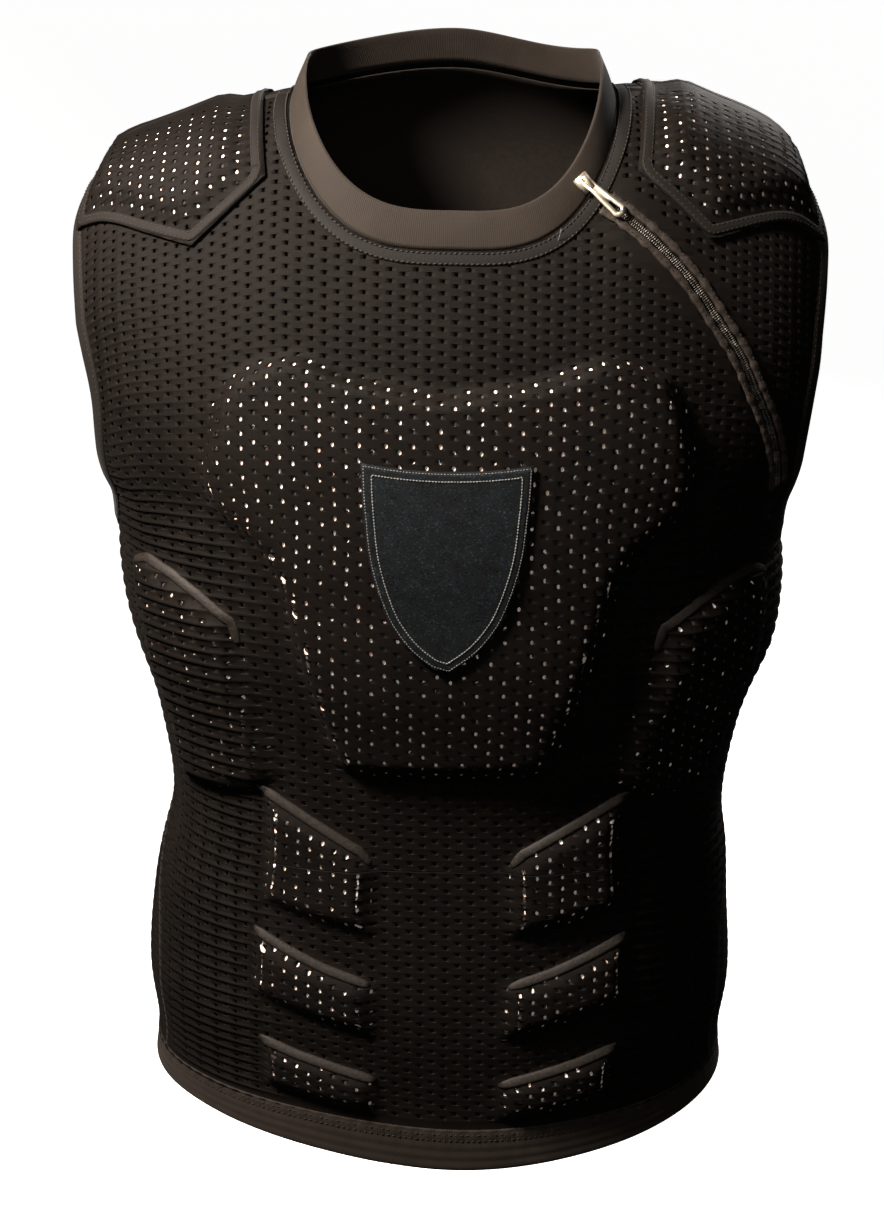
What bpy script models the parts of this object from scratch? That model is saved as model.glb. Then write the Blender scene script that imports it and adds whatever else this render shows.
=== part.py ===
# A padded protector vest of perforated stretch mesh, standing open as if worn.
# Metres, +Z up, +X to the wearer's left, the front facing -Y. The origin is between the shoulders, at the
# height of the neck points, where a body carries the vest.
# A place on the body is given by two shares: across, -1 to 1 from side seam to side seam of the front or
# the back, and drop, 0 at the shoulder ridge to 1 at the hem. Proud is a distance outward from there.

import math

import bmesh
import bpy
import numpy as np
from mathutils import Matrix, Vector

# Driving sizes of the body
CHEST_WIDTH = 0.392
CHEST_DEPTH = 0.250
BODY_LENGTH = 0.620
ARMHOLE_DROP = 0.250
SHOULDER_DROP = 0.055
NECK_WIDTH = 0.180
NAPE_RISE = 0.024
RIDGE_Y = 0.012
HEM_LIFT = 0.024

# Cloth and edges
MESH_WALL = 0.0020
ROOM_DEPTH = 0.014
SEAM_GAP = 0.0003
LAID_GAP = 0.0007
COLLAR_HEIGHT = 0.0215
COLLAR_WALL = 0.0018
COLLAR_LEAN = math.radians(22)
COLLAR_CENTRE_Y = -0.008
HEM_HEIGHT = 0.026
BINDING_RADIUS = 0.0015

# Pads
CHEST_RAISE = 0.0085
FLANK_RAISE = 0.0065
BELLY_RAISE = 0.0065
SPINE_RAISE = 0.0100
PAD_BEVEL = 0.014
PAD_INSET = 0.005
SHOULDER_RAISE = 0.0065
SHOULDER_BORDER = 0.16
COVER_INNER = 0.345
COVER_SPREAD = 0.030
COVER_MARGIN = 0.006
COVER_WALL = 0.0015
COVER_BORDER_FLAT = 0.35
PATCH_WALL = 0.0012
PATCH_DIP = 0.006
PATCH_DIP_FADE = 0.060
PAD_BLOCK = 0.020

# Zipper
CHAIN_WIDTH = 0.0050
CHAIN_HEIGHT = 0.0024
PIPING_RADIUS = 0.0015
TAPE_WIDTH = 0.024
TAPE_WALL = 0.0010
SLIDER_LENGTH = 0.0095
SLIDER_WIDTH = 0.0080
SLIDER_HEIGHT = 0.0030
BRIDGE_LENGTH = 0.0075
BRIDGE_WIDTH = 0.0024
BRIDGE_WALL = 0.0011
BRIDGE_CLEAR = 0.0020
PULLER_LENGTH = 0.0270
PULLER_WIDTH = 0.0090
PULLER_NECK = 0.0056
PULLER_WALL = 0.0013
PULLER_TURN = 80
PIVOT_CLEAR = 0.0004
WINDOW_LENGTH = 0.0042
KEYHOLE_RADIUS = 0.0019
KEYHOLE_TAIL = 0.0068
KEYHOLE_SLIT = 0.0020
SLIDER_ACROSS = 0.247
SLIDER_RISE = 0.0080
SLIDER_SEAT = 0.0004
PULLER_LIFT = math.radians(20)
BRIDGE_SINK = 0.0010
BRIDGE_CHAMFER = 0.0007
SLOT_DEPTH = 0.008
ZIP_STEPS = 24

# Rows and columns of the meshes
FRONT_LEVELS = (14, 10)
BACK_LEVELS = (9, 8)
NECK_COLUMNS = 7
ARMHOLE_COLUMNS = 6
HEM_COLUMNS = 14
COVER_COLUMNS = 8
COVER_ROWS = 12
PATCH_COLUMNS = 8

FRONT, BACK = -1, 1
LEFT, RIGHT = 1, -1

# Bends of the sections: 2 is an ellipse, and more is squarer.
SECTION_POWER = 2.3
PROFILE_POWER = {FRONT: 2.1, BACK: 3.0}
NECK_POWER = 2.9
NECK_CLIMB = {FRONT: 0.49, BACK: 0.727}
ARMHOLE_CUT = 0.30
ARMHOLE_CORNER = 0.35
HEM_START = 0.85

# Levels of the body from the hem to the armhole's foot: width is a share of half CHEST_WIDTH, and front
# and back are shares of half CHEST_DEPTH.
BODY_LEVELS = (
    # name, drop, width, front, back
    ("hem", 1.000, 0.914, 0.960, 0.860),
    ("band top", 0.930, 0.902, 0.955, 0.860),
    ("hip", 0.858, 0.924, 0.965, 0.880),
    ("belly", 0.769, 0.903, 0.945, 0.840),
    ("waist", 0.683, 0.862, 0.930, 0.780),
    ("low ribs", 0.586, 0.911, 0.960, 0.800),
    ("ribs", 0.502, 0.988, 1.020, 0.880),
    ("armhole", 0.4045, 1.020, 1.040, 0.950),
)

# Half widths from the armhole's foot up to the shoulder, by the share of that climb.
SHOULDER_LEVELS = (
    # climb, width
    (0.0, 1.020), (0.2, 1.140), (0.4, 1.205), (0.5, 1.220), (0.6, 1.230),
    (0.7, 1.235), (0.8, 1.225), (0.9, 1.212), (1.0, 1.195),
)

# The shoulder ridge from the neck point outward: it falls gently, then rounds over the upper arm.
SHOULDER_LINE = (
    # share of the way out, share of SHOULDER_DROP
    (0.00, 0.00), (0.33, 0.155), (0.50, 0.264), (0.66, 0.38),
    (0.785, 0.50), (0.86, 0.62), (0.934, 0.80), (1.00, 1.00),
)

# Outlines of the pads under the mesh, on the wearer's left half, from the middle outward.
CHEST_OUTLINE = (
    # across, top, bottom
    (0.000, 0.230, 0.598), (0.170, 0.215, 0.597), (0.245, 0.201, 0.594), (0.275, 0.200, 0.575),
    (0.310, 0.203, 0.520), (0.335, 0.206, 0.468), (0.365, 0.211, 0.415), (0.400, 0.216, 0.385),
    (0.440, 0.244, 0.368), (0.475, 0.285, 0.356), (0.500, 0.318, 0.344),
)
FLANK_OUTLINE = (
    (0.410, 0.570, 0.602), (0.430, 0.540, 0.612), (0.452, 0.475, 0.620), (0.470, 0.443, 0.626),
    (0.550, 0.422, 0.632), (0.620, 0.408, 0.636), (0.700, 0.400, 0.638), (0.770, 0.410, 0.630),
)
BELLY_OUTLINES = {
    "top": ((0.160, 0.682, 0.760), (0.210, 0.662, 0.757), (0.340, 0.635, 0.747), (0.470, 0.608, 0.736)),
    "middle": ((0.145, 0.799, 0.865), (0.280, 0.783, 0.853), (0.380, 0.768, 0.842), (0.475, 0.752, 0.830)),
    "bottom": ((0.140, 0.900, 0.950), (0.240, 0.891, 0.949), (0.350, 0.880, 0.944), (0.450, 0.867, 0.936)),
}
SPINE_OUTLINE = (
    (0.000, 0.120, 0.800), (0.160, 0.130, 0.795), (0.280, 0.165, 0.760), (0.340, 0.260, 0.660),
)
COVER_FEET = {
    # side: (share of the way out to the armhole, drop) along the cover's lower edge
    FRONT: ((0.00, 0.061), (0.35, 0.104), (1.00, 0.046)),
    BACK: ((0.00, 0.030), (0.50, 0.040), (1.00, 0.030)),
}
PATCH_ROWS = (
    # drop, half width as a share across
    (0.303, 0.155), (0.340, 0.156), (0.378, 0.150), (0.410, 0.131),
    (0.441, 0.099), (0.463, 0.058), (0.479, 0.010),
)

# The zipper's way from the collar to the armhole, over the wearer's left breast.
ZIP_WAY = (
    # across, drop
    (0.262, 0.081), (0.304, 0.097), (0.366, 0.119), (0.422, 0.141), (0.474, 0.168),
    (0.521, 0.193), (0.575, 0.229), (0.624, 0.258), (0.681, 0.299), (0.700, 0.313),
)

COLOURS = {
    # material: colour, roughness, metallic
    "mesh cloth": ((0.030, 0.026, 0.023), 0.75, 0.0),
    "knit band": ((0.040, 0.033, 0.027), 0.80, 0.0),
    "foam": ((0.75, 0.66, 0.60), 0.85, 0.0),
    "patch": ((0.012, 0.022, 0.030), 0.70, 0.0),
    "coil": ((0.015, 0.015, 0.015), 0.45, 0.0),
    "metal": ((0.72, 0.66, 0.52), 0.30, 1.0),
}


# The body's surface

def through(x, xs, ys):
    # Value at x of the smooth curve through the points
    xs, ys = np.asarray(xs, float), np.asarray(ys, float)
    if xs[0] > xs[-1]:
        xs, ys = xs[::-1], ys[::-1]
    slope = np.gradient(ys, xs)
    i = int(np.clip(np.searchsorted(xs, x) - 1, 0, len(xs) - 2))
    step = xs[i + 1] - xs[i]
    t = min(max((x - xs[i]) / step, 0), 1)
    start = (1 + 2 * t) * (1 - t) ** 2 * ys[i] + t * (1 - t) ** 2 * step * slope[i]
    return start + t * t * (3 - 2 * t) * ys[i + 1] + t * t * (t - 1) * step * slope[i + 1]


ANGLES = np.linspace(0, math.pi / 2, 91)
REACH = (np.sin(ANGLES) ** SECTION_POWER + np.cos(ANGLES) ** SECTION_POWER) ** (1 / SECTION_POWER)
SIDEWAYS = np.sin(ANGLES) / REACH
FORWARD = np.cos(ANGLES) / REACH
STEPS = np.hypot(np.diff(SIDEWAYS) * CHEST_WIDTH / 2, np.diff(FORWARD) * CHEST_DEPTH / 2)
ARC = np.concatenate([[0], np.cumsum(STEPS)])
QUARTER_GIRTH = ARC[-1]
ARMHOLE_LEVEL = ARMHOLE_DROP / BODY_LENGTH
HEM_LEVEL = 1 - HEM_HEIGHT / BODY_LENGTH


def section(across):
    # Shares of the half width and of the depth at this share of the quarter girth
    run = abs(across) * QUARTER_GIRTH
    return math.copysign(np.interp(run, ARC, SIDEWAYS), across), float(np.interp(run, ARC, FORWARD))


def level_sizes(drop):
    _, drops, widths, fronts, backs = zip(*BODY_LEVELS)
    drops = [share * ARMHOLE_LEVEL / drops[-1] if share == drops[-1] else share for share in drops]
    depths = {side: through(drop, drops, shares) * CHEST_DEPTH / 2
              for side, shares in ((FRONT, fronts), (BACK, backs))}
    return through(drop, drops, widths) * CHEST_WIDTH / 2, depths


def climb_of(side, drop):
    # What is left of the depth, the share of the armhole's height, and the climb as an angle's share
    power = PROFILE_POWER[side]
    high = min(max(1 - drop / ARMHOLE_LEVEL, 0), 1)
    deep = (1 - high ** power) ** (1 / power)
    return deep, high, math.atan2(high, deep) * 2 / math.pi


def drop_at(side, climb):
    power = PROFILE_POWER[side]
    cosine, sine = math.cos(climb * math.pi / 2), math.sin(climb * math.pi / 2)
    return ARMHOLE_LEVEL * (1 - sine / (cosine ** power + sine ** power) ** (1 / power))


def above_foot(drop):
    # Just over the armhole's foot, where the body's surface takes its upper form
    return min(drop, ARMHOLE_LEVEL - 1e-9)


def shoulder_width():
    return SHOULDER_LEVELS[-1][1] * CHEST_WIDTH / 2


def shoulder_z(side, x):
    tip = shoulder_width() * section(1 - ARMHOLE_CUT)[0]
    neck = NECK_WIDTH / 2
    if abs(x) > neck:
        return -SHOULDER_DROP * through((abs(x) - neck) / (tip - neck), *zip(*SHOULDER_LINE))
    return (NAPE_RISE if side == BACK else 0) * (1 - (x / neck) ** 2)


def body(side, across, drop, proud=0.0):
    sideways, forward = section(across)
    width, depths = level_sizes(max(drop, ARMHOLE_LEVEL))
    if drop >= ARMHOLE_LEVEL:
        low = max(0, (drop - HEM_START) / (1 - HEM_START))
        lift = HEM_LIFT * sideways ** 2 * low ** 2
        y = side * forward * (depths[side] + proud)
        return Vector((sideways * (width + proud), y, lift - drop * BODY_LENGTH))
    deep, high, climb = climb_of(side, drop)
    width = through(climb, *zip(*SHOULDER_LEVELS)) * CHEST_WIDTH / 2 + proud
    y = RIDGE_Y + (side * forward * (depths[side] + proud) - RIDGE_Y) * deep
    rise = ARMHOLE_DROP + shoulder_z(side, sideways * shoulder_width()) + proud
    return Vector((sideways * width, y, rise * high - ARMHOLE_DROP))


def armhole_edge(climb):
    corner = 1 - min(1, climb / ARMHOLE_CORNER)
    return 1 - ARMHOLE_CUT * math.sqrt(max(0, 1 - corner ** 2))


def on_panel(share, climb):
    # The across of the column that runs at this share of the way from the middle to the panel's edge
    return share * (1 - (1 - armhole_edge(climb)) * abs(share))


def neck_share():
    # The column that meets a neck point on the shoulder ridge, which is on_panel turned round
    across = float(np.interp(NECK_WIDTH / 2 / shoulder_width(), SIDEWAYS, ARC)) / QUARTER_GIRTH
    return (1 - math.sqrt(1 - 4 * ARMHOLE_CUT * across)) / (2 * ARMHOLE_CUT)


def neck_climb(side, across):
    out = min(1, abs(across) / neck_share())
    return 1 - (1 - NECK_CLIMB[side]) * (1 - out ** NECK_POWER) ** (1 / NECK_POWER)


def seam_side(side, point):
    # Keeps a panel's edge on its own side of the side seam and of the shoulder seam
    return point + Vector((0, side * SEAM_GAP / 2, 0))


# The raised places over the pads

def outline_points(rows):
    top = [(across * QUARTER_GIRTH, high * BODY_LENGTH) for across, high, _ in rows]
    bottom = [(across * QUARTER_GIRTH, low * BODY_LENGTH) for across, _, low in reversed(rows)]
    return np.array(top + bottom)


def both_halves(rows):
    return tuple((-across, high, low) for across, high, low in reversed(rows) if across) + tuple(rows)


def depth_inside(points, x, y):
    # Distance from the outline to a point inside it, and 0 outside
    ends = np.roll(points, -1, axis=0)
    run = ends - points
    length = (run ** 2).sum(axis=1)
    share = np.clip(((x - points[:, 0]) * run[:, 0] + (y - points[:, 1]) * run[:, 1]) / length, 0, 1)
    nearest = points + run * share[:, None]
    apart = np.hypot(x - nearest[:, 0], y - nearest[:, 1]).min()
    crosses = (points[:, 1] > y) != (ends[:, 1] > y)
    drop = np.where(run[:, 1] == 0, 1, run[:, 1])
    inside = (crosses & (x < points[:, 0] + (y - points[:, 1]) * run[:, 0] / drop)).sum() % 2
    return apart if inside else 0.0


PADS = {FRONT: [(outline_points(both_halves(CHEST_OUTLINE)), CHEST_RAISE)],
        BACK: [(outline_points(both_halves(SPINE_OUTLINE)), SPINE_RAISE)]}
for mirror in (LEFT, RIGHT):
    flip = np.array((mirror, 1))
    PADS[FRONT].append((outline_points(FLANK_OUTLINE) * flip, FLANK_RAISE))
    for rows in BELLY_OUTLINES.values():
        PADS[FRONT].append((outline_points(rows) * flip, BELLY_RAISE))


def raised(side, across, drop):
    highest = 0.0
    for points, height in PADS[side]:
        share = min(1, depth_inside(points, across * QUARTER_GIRTH, drop * BODY_LENGTH) / PAD_BEVEL)
        highest = max(highest, height * share * share * (3 - 2 * share))
    return highest


# Mesh makers

def new_object(name, mesh, colour, collection):
    obj = bpy.data.objects.new(name, mesh)
    collection.objects.link(obj)
    obj.data.materials.append(MATERIALS[colour])
    return obj


def mesh_object(name, points, faces, colour):
    mesh = bpy.data.meshes.new(name)
    mesh.from_pydata([tuple(point) for point in points], [], faces)
    work = bmesh.new()
    work.from_mesh(mesh)
    bmesh.ops.recalc_face_normals(work, faces=work.faces)
    if work.calc_volume(signed=True) < 0:
        bmesh.ops.reverse_faces(work, faces=work.faces)
    work.to_mesh(mesh)
    work.free()
    mesh.shade_smooth()
    mesh.set_sharp_from_angle(angle=math.radians(35))
    return new_object(name, mesh, colour, VEST)


def sheet(name, outer, inner, colour):
    # A closed piece between two grids of points of the same size, each a list of rows
    tall, wide = len(outer), len(outer[0])
    points = [p for row in outer for p in row] + [p for row in inner for p in row]
    under = tall * wide
    faces = []
    for j in range(tall - 1):
        for i in range(wide - 1):
            a, b, c, d = j * wide + i, j * wide + i + 1, (j + 1) * wide + i + 1, (j + 1) * wide + i
            # The same diagonal on both grids, and mirrored about the middle, keeps pieces that lie on
            # each other apart
            halves = ((a, b, c), (a, c, d)) if 2 * i + 1 < wide - 1 else ((a, b, d), (b, c, d))
            faces += halves + tuple((under + r, under + q, under + p) for p, q, r in halves)
    rim = [(0, i) for i in range(wide)] + [(j, wide - 1) for j in range(1, tall)]
    rim += [(tall - 1, i) for i in range(wide - 2, -1, -1)] + [(j, 0) for j in range(tall - 2, 0, -1)]
    rim = [j * wide + i for j, i in rim]
    for a, b in zip(rim, rim[1:] + rim[:1]):
        faces.append((b, a, under + a, under + b))
    return mesh_object(name, points, faces, colour)


def ring(name, loops, colour):
    # A closed band round the body: loops of points, one for each corner of its section
    around = len(loops[0])
    points = [p for loop in loops for p in loop]
    faces = []
    for k in range(len(loops)):
        after = (k + 1) % len(loops)
        for i in range(around):
            step = (i + 1) % around
            faces.append((k * around + i, k * around + step, after * around + step, after * around + i))
    return mesh_object(name, points, faces, colour)


def tube(name, points, radius, closed, colour):
    curve = bpy.data.curves.new(name, "CURVE")
    curve.dimensions = "3D"
    curve.bevel_depth = radius
    curve.bevel_resolution = 1
    curve.use_fill_caps = not closed
    spline = curve.splines.new("POLY")
    spline.points.add(len(points) - 1)
    for place, point in zip(spline.points, points):
        place.co = (*point, 1)
    spline.use_cyclic_u = closed
    return new_object(name, curve, colour, VEST)


def cut(obj, cutter, operation="DIFFERENCE"):
    modifier = obj.modifiers.new(cutter.name, "BOOLEAN")
    modifier.operation = operation
    modifier.object = cutter


def as_cutter(obj):
    obj.hide_render = True
    obj.display_type = "WIRE"
    VEST.objects.unlink(obj)
    CUTTERS.objects.link(obj)
    return obj


# Panels

def panel_shares():
    # Shares across of the panels' columns: closer together where the neck's edge falls
    neck = neck_share()
    inside = [neck * math.sin(math.pi / 2 * k / NECK_COLUMNS) for k in range(NECK_COLUMNS + 1)]
    outside = [neck + (1 - neck) * k / ARMHOLE_COLUMNS for k in range(1, ARMHOLE_COLUMNS + 1)]
    half = inside + outside
    return [-share for share in reversed(half[1:])] + half


def edge_climbs(count):
    # Levels up the armhole, closer together round its foot
    return [(k / count) ** 1.4 for k in range(count + 1)]


def panel_levels(count_low, count_high):
    # (drop below the armhole, or None) and (climb above it, or None)
    low = HEM_LEVEL - SEAM_GAP / BODY_LENGTH
    levels = [(low + (ARMHOLE_LEVEL - low) * k / count_low, None) for k in range(count_low)]
    return levels + [(None, climb) for climb in edge_climbs(count_high)]


def panel_point(side, share, level, depth):
    drop, climb = level
    if drop is not None:
        across = share
    else:
        limit = neck_climb(side, share) if abs(share) < neck_share() else 1.0
        climb = climb * limit
        across = on_panel(share, climb)
        drop = above_foot(drop_at(side, climb))
    return seam_side(side, body(side, across, drop, raised(side, across, drop) - depth))


def panel(name, side, count_low, count_high):
    shares = panel_shares()
    levels = panel_levels(count_low, count_high)
    outer = [[panel_point(side, share, level, 0) for share in shares] for level in levels]
    inner = [[panel_point(side, share, level, MESH_WALL) for share in shares] for level in levels]
    return sheet(name, outer, inner, "mesh cloth")


def room(name, side, count_low, count_high):
    # What lies behind the middle of a panel, so that a pad cut to it fits the panel
    shares = panel_shares()[1:-1]
    levels = panel_levels(count_low, count_high)[:-1]
    outer = [[panel_point(side, share, level, MESH_WALL + SEAM_GAP) for share in shares] for level in levels]
    inner = [[panel_point(side, share, level, ROOM_DEPTH) for share in shares] for level in levels]
    return as_cutter(sheet(name, outer, inner, "foam"))


# Pads behind the panels

def shrink(rows, inset):
    # The outline drawn in by this distance at its top, bottom and ends, and never turned over
    high, wide = inset / BODY_LENGTH, inset / QUARTER_GIRTH
    centre = (rows[0][0] + rows[-1][0]) / 2
    squeeze = 1 - wide / (rows[-1][0] - centre)
    return [(centre + (across - centre) * squeeze, top + high, max(bottom - high, top + high * 1.5))
            for across, top, bottom in rows]


def pad(name, side, rows, behind, rows_high):
    rows = shrink(rows, PAD_INSET)
    back = -MESH_WALL - 3 * SEAM_GAP
    levels = [k / rows_high for k in range(rows_high + 1)]
    outer = [[body(side, a, low + (top - low) * t, PAD_BLOCK) for a, top, low in rows] for t in levels]
    inner = [[body(side, a, low + (top - low) * t, back) for a, top, low in rows] for t in levels]
    obj = sheet(name, outer, inner, "foam")
    cut(obj, behind, "INTERSECT")
    return obj


# Edges

def neck_points(count):
    # Round the neck: the front from the wearer's right to left, then the back
    neck = neck_share()
    shares = [neck * math.sin(math.pi / 2 * k / count) for k in range(-count, count + 1)]
    front = [(FRONT, share) for share in shares]
    back = [(BACK, share) for share in reversed(shares[1:-1])]
    return front + back


def on_neck(side, across, proud):
    drop = drop_at(side, neck_climb(side, across))
    return body(side, on_panel(across, neck_climb(side, across)), drop, proud)


def collar_stand(side, across):
    # A point of the collar's seam, the level direction inward and the direction up the collar's face
    seam = on_neck(side, across, 0)
    inward = Vector((0, COLLAR_CENTRE_Y, 0)) - seam
    inward.z = 0
    inward.normalize()
    return seam, inward, inward * math.sin(COLLAR_LEAN) + Vector((0, 0, math.cos(COLLAR_LEAN)))


def collar():
    loops = [[], [], [], []]
    for side, across in neck_points(NECK_COLUMNS):
        seam, inward, rise = collar_stand(side, across)
        foot = seam + rise * SEAM_GAP * 1.5
        top = foot + rise * COLLAR_HEIGHT
        for loop, point in zip(loops, (foot, top, top + inward * COLLAR_WALL, foot + inward * COLLAR_WALL)):
            loop.append(point)
    return ring("collar_band", loops, "knit band")


def hem():
    shares = [k / HEM_COLUMNS for k in range(-HEM_COLUMNS, HEM_COLUMNS + 1)]
    places = [(FRONT, share) for share in shares] + [(BACK, share) for share in reversed(shares[1:-1])]
    loops = []
    for drop, proud in ((1, 0), (HEM_LEVEL, 0), (HEM_LEVEL, -MESH_WALL), (1, -MESH_WALL)):
        loops.append([body(side, share, drop, proud) for side, share in places])
    return ring("hem_band", loops, "knit band")


def armhole_loop(hand):
    # Places on the armhole's edge, at the panels' own levels: up the front, then down the back
    way = [(FRONT, climb) for climb in edge_climbs(FRONT_LEVELS[1])]
    way += [(BACK, climb) for climb in reversed(edge_climbs(BACK_LEVELS[1])[1:-1])]
    return [(side, hand * armhole_edge(climb), above_foot(drop_at(side, climb))) for side, climb in way]


def binding(name, hand):
    places = armhole_loop(hand)
    edge = [body(side, across, drop, -MESH_WALL / 2) for side, across, drop in places]
    points = []
    for i, (side, across, drop) in enumerate(places):
        along = edge[(i + 1) % len(edge)] - edge[i - 1]
        outward = body(side, across, drop, MESH_WALL) - edge[i]
        beyond = (body(side, across + hand * 1e-3, drop) - body(side, across, drop)).normalized()
        away = along.cross(outward).normalized()
        if away.dot(beyond + Vector((0, 0, 0.5))) < 0:
            away.negate()
        points.append(edge[i] + away * (BINDING_RADIUS + 2 * SEAM_GAP))
    return tube(name, points, BINDING_RADIUS, True, "knit band")


# Shoulder pads and their covers

def cover_place(hand, share, way):
    # share 0 to 1 from the neck to the armhole, way -1 to 1 from the front point over the ridge to the back
    side = FRONT if way < 0 else BACK
    foot = float(np.interp(share, *zip(*COVER_FEET[side])))
    climb = 1 - abs(way) * (1 - climb_of(side, foot)[2])
    inner = COVER_INNER - COVER_SPREAD * abs(way)
    outer = armhole_edge(climb) - COVER_MARGIN
    return side, hand * (inner + (outer - inner) * share), drop_at(side, climb)


def cover_dome(share, way):
    # How far the pad lifts the cover: not at all on the border, then in full
    edge = min(share, 1 - share, 1 - abs(way)) / SHOULDER_BORDER
    inside = min(1, max(0, edge - COVER_BORDER_FLAT))
    return SHOULDER_RAISE * inside * inside * (3 - 2 * inside)


def shoulder_cover(hand, name, pad_name):
    shares = [k / COVER_COLUMNS for k in range(COVER_COLUMNS + 1)]
    ways = [-1 + 2 * k / COVER_ROWS for k in range(COVER_ROWS + 1)]

    def points(depth, dome=True, trim=0):
        rows = []
        for way in ways[trim:len(ways) - trim]:
            row = []
            for share in shares[trim:len(shares) - trim]:
                side, across, drop = cover_place(hand, share, way)
                lift = cover_dome(share, way) if dome else 0
                row.append(body(side, across, drop, LAID_GAP + lift + depth))
            rows.append(row)
        return rows

    sheet(name, points(COVER_WALL), points(0), "mesh cloth")
    sheet(pad_name, points(-SEAM_GAP, trim=2), points(0, dome=False, trim=2), "foam")


# The patch on the chest

def chest_patch():
    shares = [-1 + 2 * k / PATCH_COLUMNS for k in range(PATCH_COLUMNS + 1)]

    def points(depth):
        rows = []
        for drop, half in PATCH_ROWS:
            fade = max(0, 1 - (drop - PATCH_ROWS[0][0]) / PATCH_DIP_FADE)
            rows.append([body(FRONT, share * half, drop + PATCH_DIP * fade * (1 - share * share),
                              CHEST_RAISE + LAID_GAP + depth) for share in shares])
        return rows

    sheet("chest_patch", points(PATCH_WALL), points(0), "patch")


# Zipper

def zip_frames():
    # Points along the zipper's way with the direction along, across it and outward
    count = ZIP_STEPS
    runs = [0.0]
    for (a, b), (c, d) in zip(ZIP_WAY, ZIP_WAY[1:]):
        runs.append(runs[-1] + math.hypot((c - a) * QUARTER_GIRTH, (d - b) * BODY_LENGTH))
    acrosses, drops = zip(*ZIP_WAY)
    places = []
    for k in range(count + 1):
        run = runs[-1] * k / count
        places.append((through(run, runs, acrosses), through(run, runs, drops)))
    frames = []
    small = 1e-3
    for k, (across, drop) in enumerate(places):
        point = body(FRONT, across, drop)
        outward = (body(FRONT, across, drop + small) - point).cross(body(FRONT, across + small, drop) - point)
        outward.normalize()
        if outward.y > 0:
            outward.negate()
        before, after = places[max(k - 1, 0)], places[min(k + 1, count)]
        along = (body(FRONT, *after) - body(FRONT, *before)).normalized()
        frames.append((point, along, outward.cross(along).normalized(), outward))
    return frames


def ribbon(name, frames, width, low, high, colour):
    # A flat strip along the zipper between two distances from the body's surface
    def rows(depth):
        return [[point + aside * width * share + outward * depth for share in (-0.5, 0, 0.5)]
                for point, _, aside, outward in frames]

    return sheet(name, rows(high), rows(low), colour)


def zipper(front, behind):
    frames = zip_frames()
    lane = CHAIN_WIDTH / 2 + SEAM_GAP + PIPING_RADIUS
    slot = 2 * (lane + PIPING_RADIUS + SEAM_GAP * 2)
    cutter = as_cutter(ribbon("zip_slot_cutter", frames, slot, -SLOT_DEPTH, SLOT_DEPTH, "coil"))
    cut(front, cutter)
    tape_top = -MESH_WALL - 2 * SEAM_GAP
    tape = ribbon("zip_tape", frames, TAPE_WIDTH, tape_top - TAPE_WALL, MESH_WALL, "coil")
    cut(tape, behind, "INTERSECT")
    inner = frames[1:-1]
    chain_foot = -MESH_WALL
    ribbon("zip_coil", inner, CHAIN_WIDTH, chain_foot, chain_foot + CHAIN_HEIGHT, "coil")
    for name, way in (("zip_piping_neck", -1), ("zip_piping_arm", 1)):
        height = chain_foot + PIPING_RADIUS
        points = [point + aside * lane * way + outward * height for point, _, aside, outward in inner]
        tube(name, points, PIPING_RADIUS, False, "knit band")


def box(work, low, high):
    made = bmesh.ops.create_cube(work, size=1)["verts"]
    for vertex in made:
        for axis in range(3):
            vertex.co[axis] = low[axis] if vertex.co[axis] < 0 else high[axis]
    return made


def plate_object(name, outline, holes, thickness, colour):
    # A flat plate with holes, its middle plane at z 0
    curve = bpy.data.curves.new(name, "CURVE")
    curve.dimensions = "2D"
    curve.fill_mode = "BOTH"
    curve.extrude = thickness / 2
    for loop in [outline] + holes:
        spline = curve.splines.new("POLY")
        spline.points.add(len(loop) - 1)
        for place, (x, y) in zip(spline.points, loop):
            place.co = (x, y, 0, 1)
        spline.use_cyclic_u = True
    flat = bpy.data.objects.new(name + "_outline", curve)
    VEST.objects.link(flat)
    bpy.context.view_layer.update()
    mesh = bpy.data.meshes.new_from_object(flat.evaluated_get(bpy.context.evaluated_depsgraph_get()))
    bpy.data.objects.remove(flat)
    work = bmesh.new()
    work.from_mesh(mesh)
    bmesh.ops.remove_doubles(work, verts=work.verts, dist=1e-6)
    bmesh.ops.recalc_face_normals(work, faces=work.faces)
    work.to_mesh(mesh)
    work.free()
    mesh.name = name
    mesh.materials.clear()
    return new_object(name, mesh, colour, VEST)


def slider_frame():
    # The slider's own frame on the collar's face: x towards the zipper, y across it, z outward
    seam, inward, rise = collar_stand(FRONT, SLIDER_ACROSS)
    beside = on_neck(FRONT, SLIDER_ACROSS + 1e-3, 0) - seam
    outward = rise.cross(beside).normalized()
    if outward.dot(inward) > 0:
        outward.negate()
    place = seam + rise * SLIDER_RISE + outward * SLIDER_SEAT
    along = zip_frames()[2][0] - place
    along = (along - outward * along.dot(outward)).normalized()
    frame = Matrix((along, outward.cross(along), outward)).transposed().to_4x4()
    frame.translation = place
    return frame


def puller_frame():
    # The puller turns about y of this frame, at the middle of the arch, and lies on the front
    pivot = Matrix.Translation((0, 0, SLIDER_HEIGHT + BRIDGE_CLEAR / 2))
    return slider_frame() @ pivot @ Matrix.Rotation(-PULLER_LIFT, 4, "Y")


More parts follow.
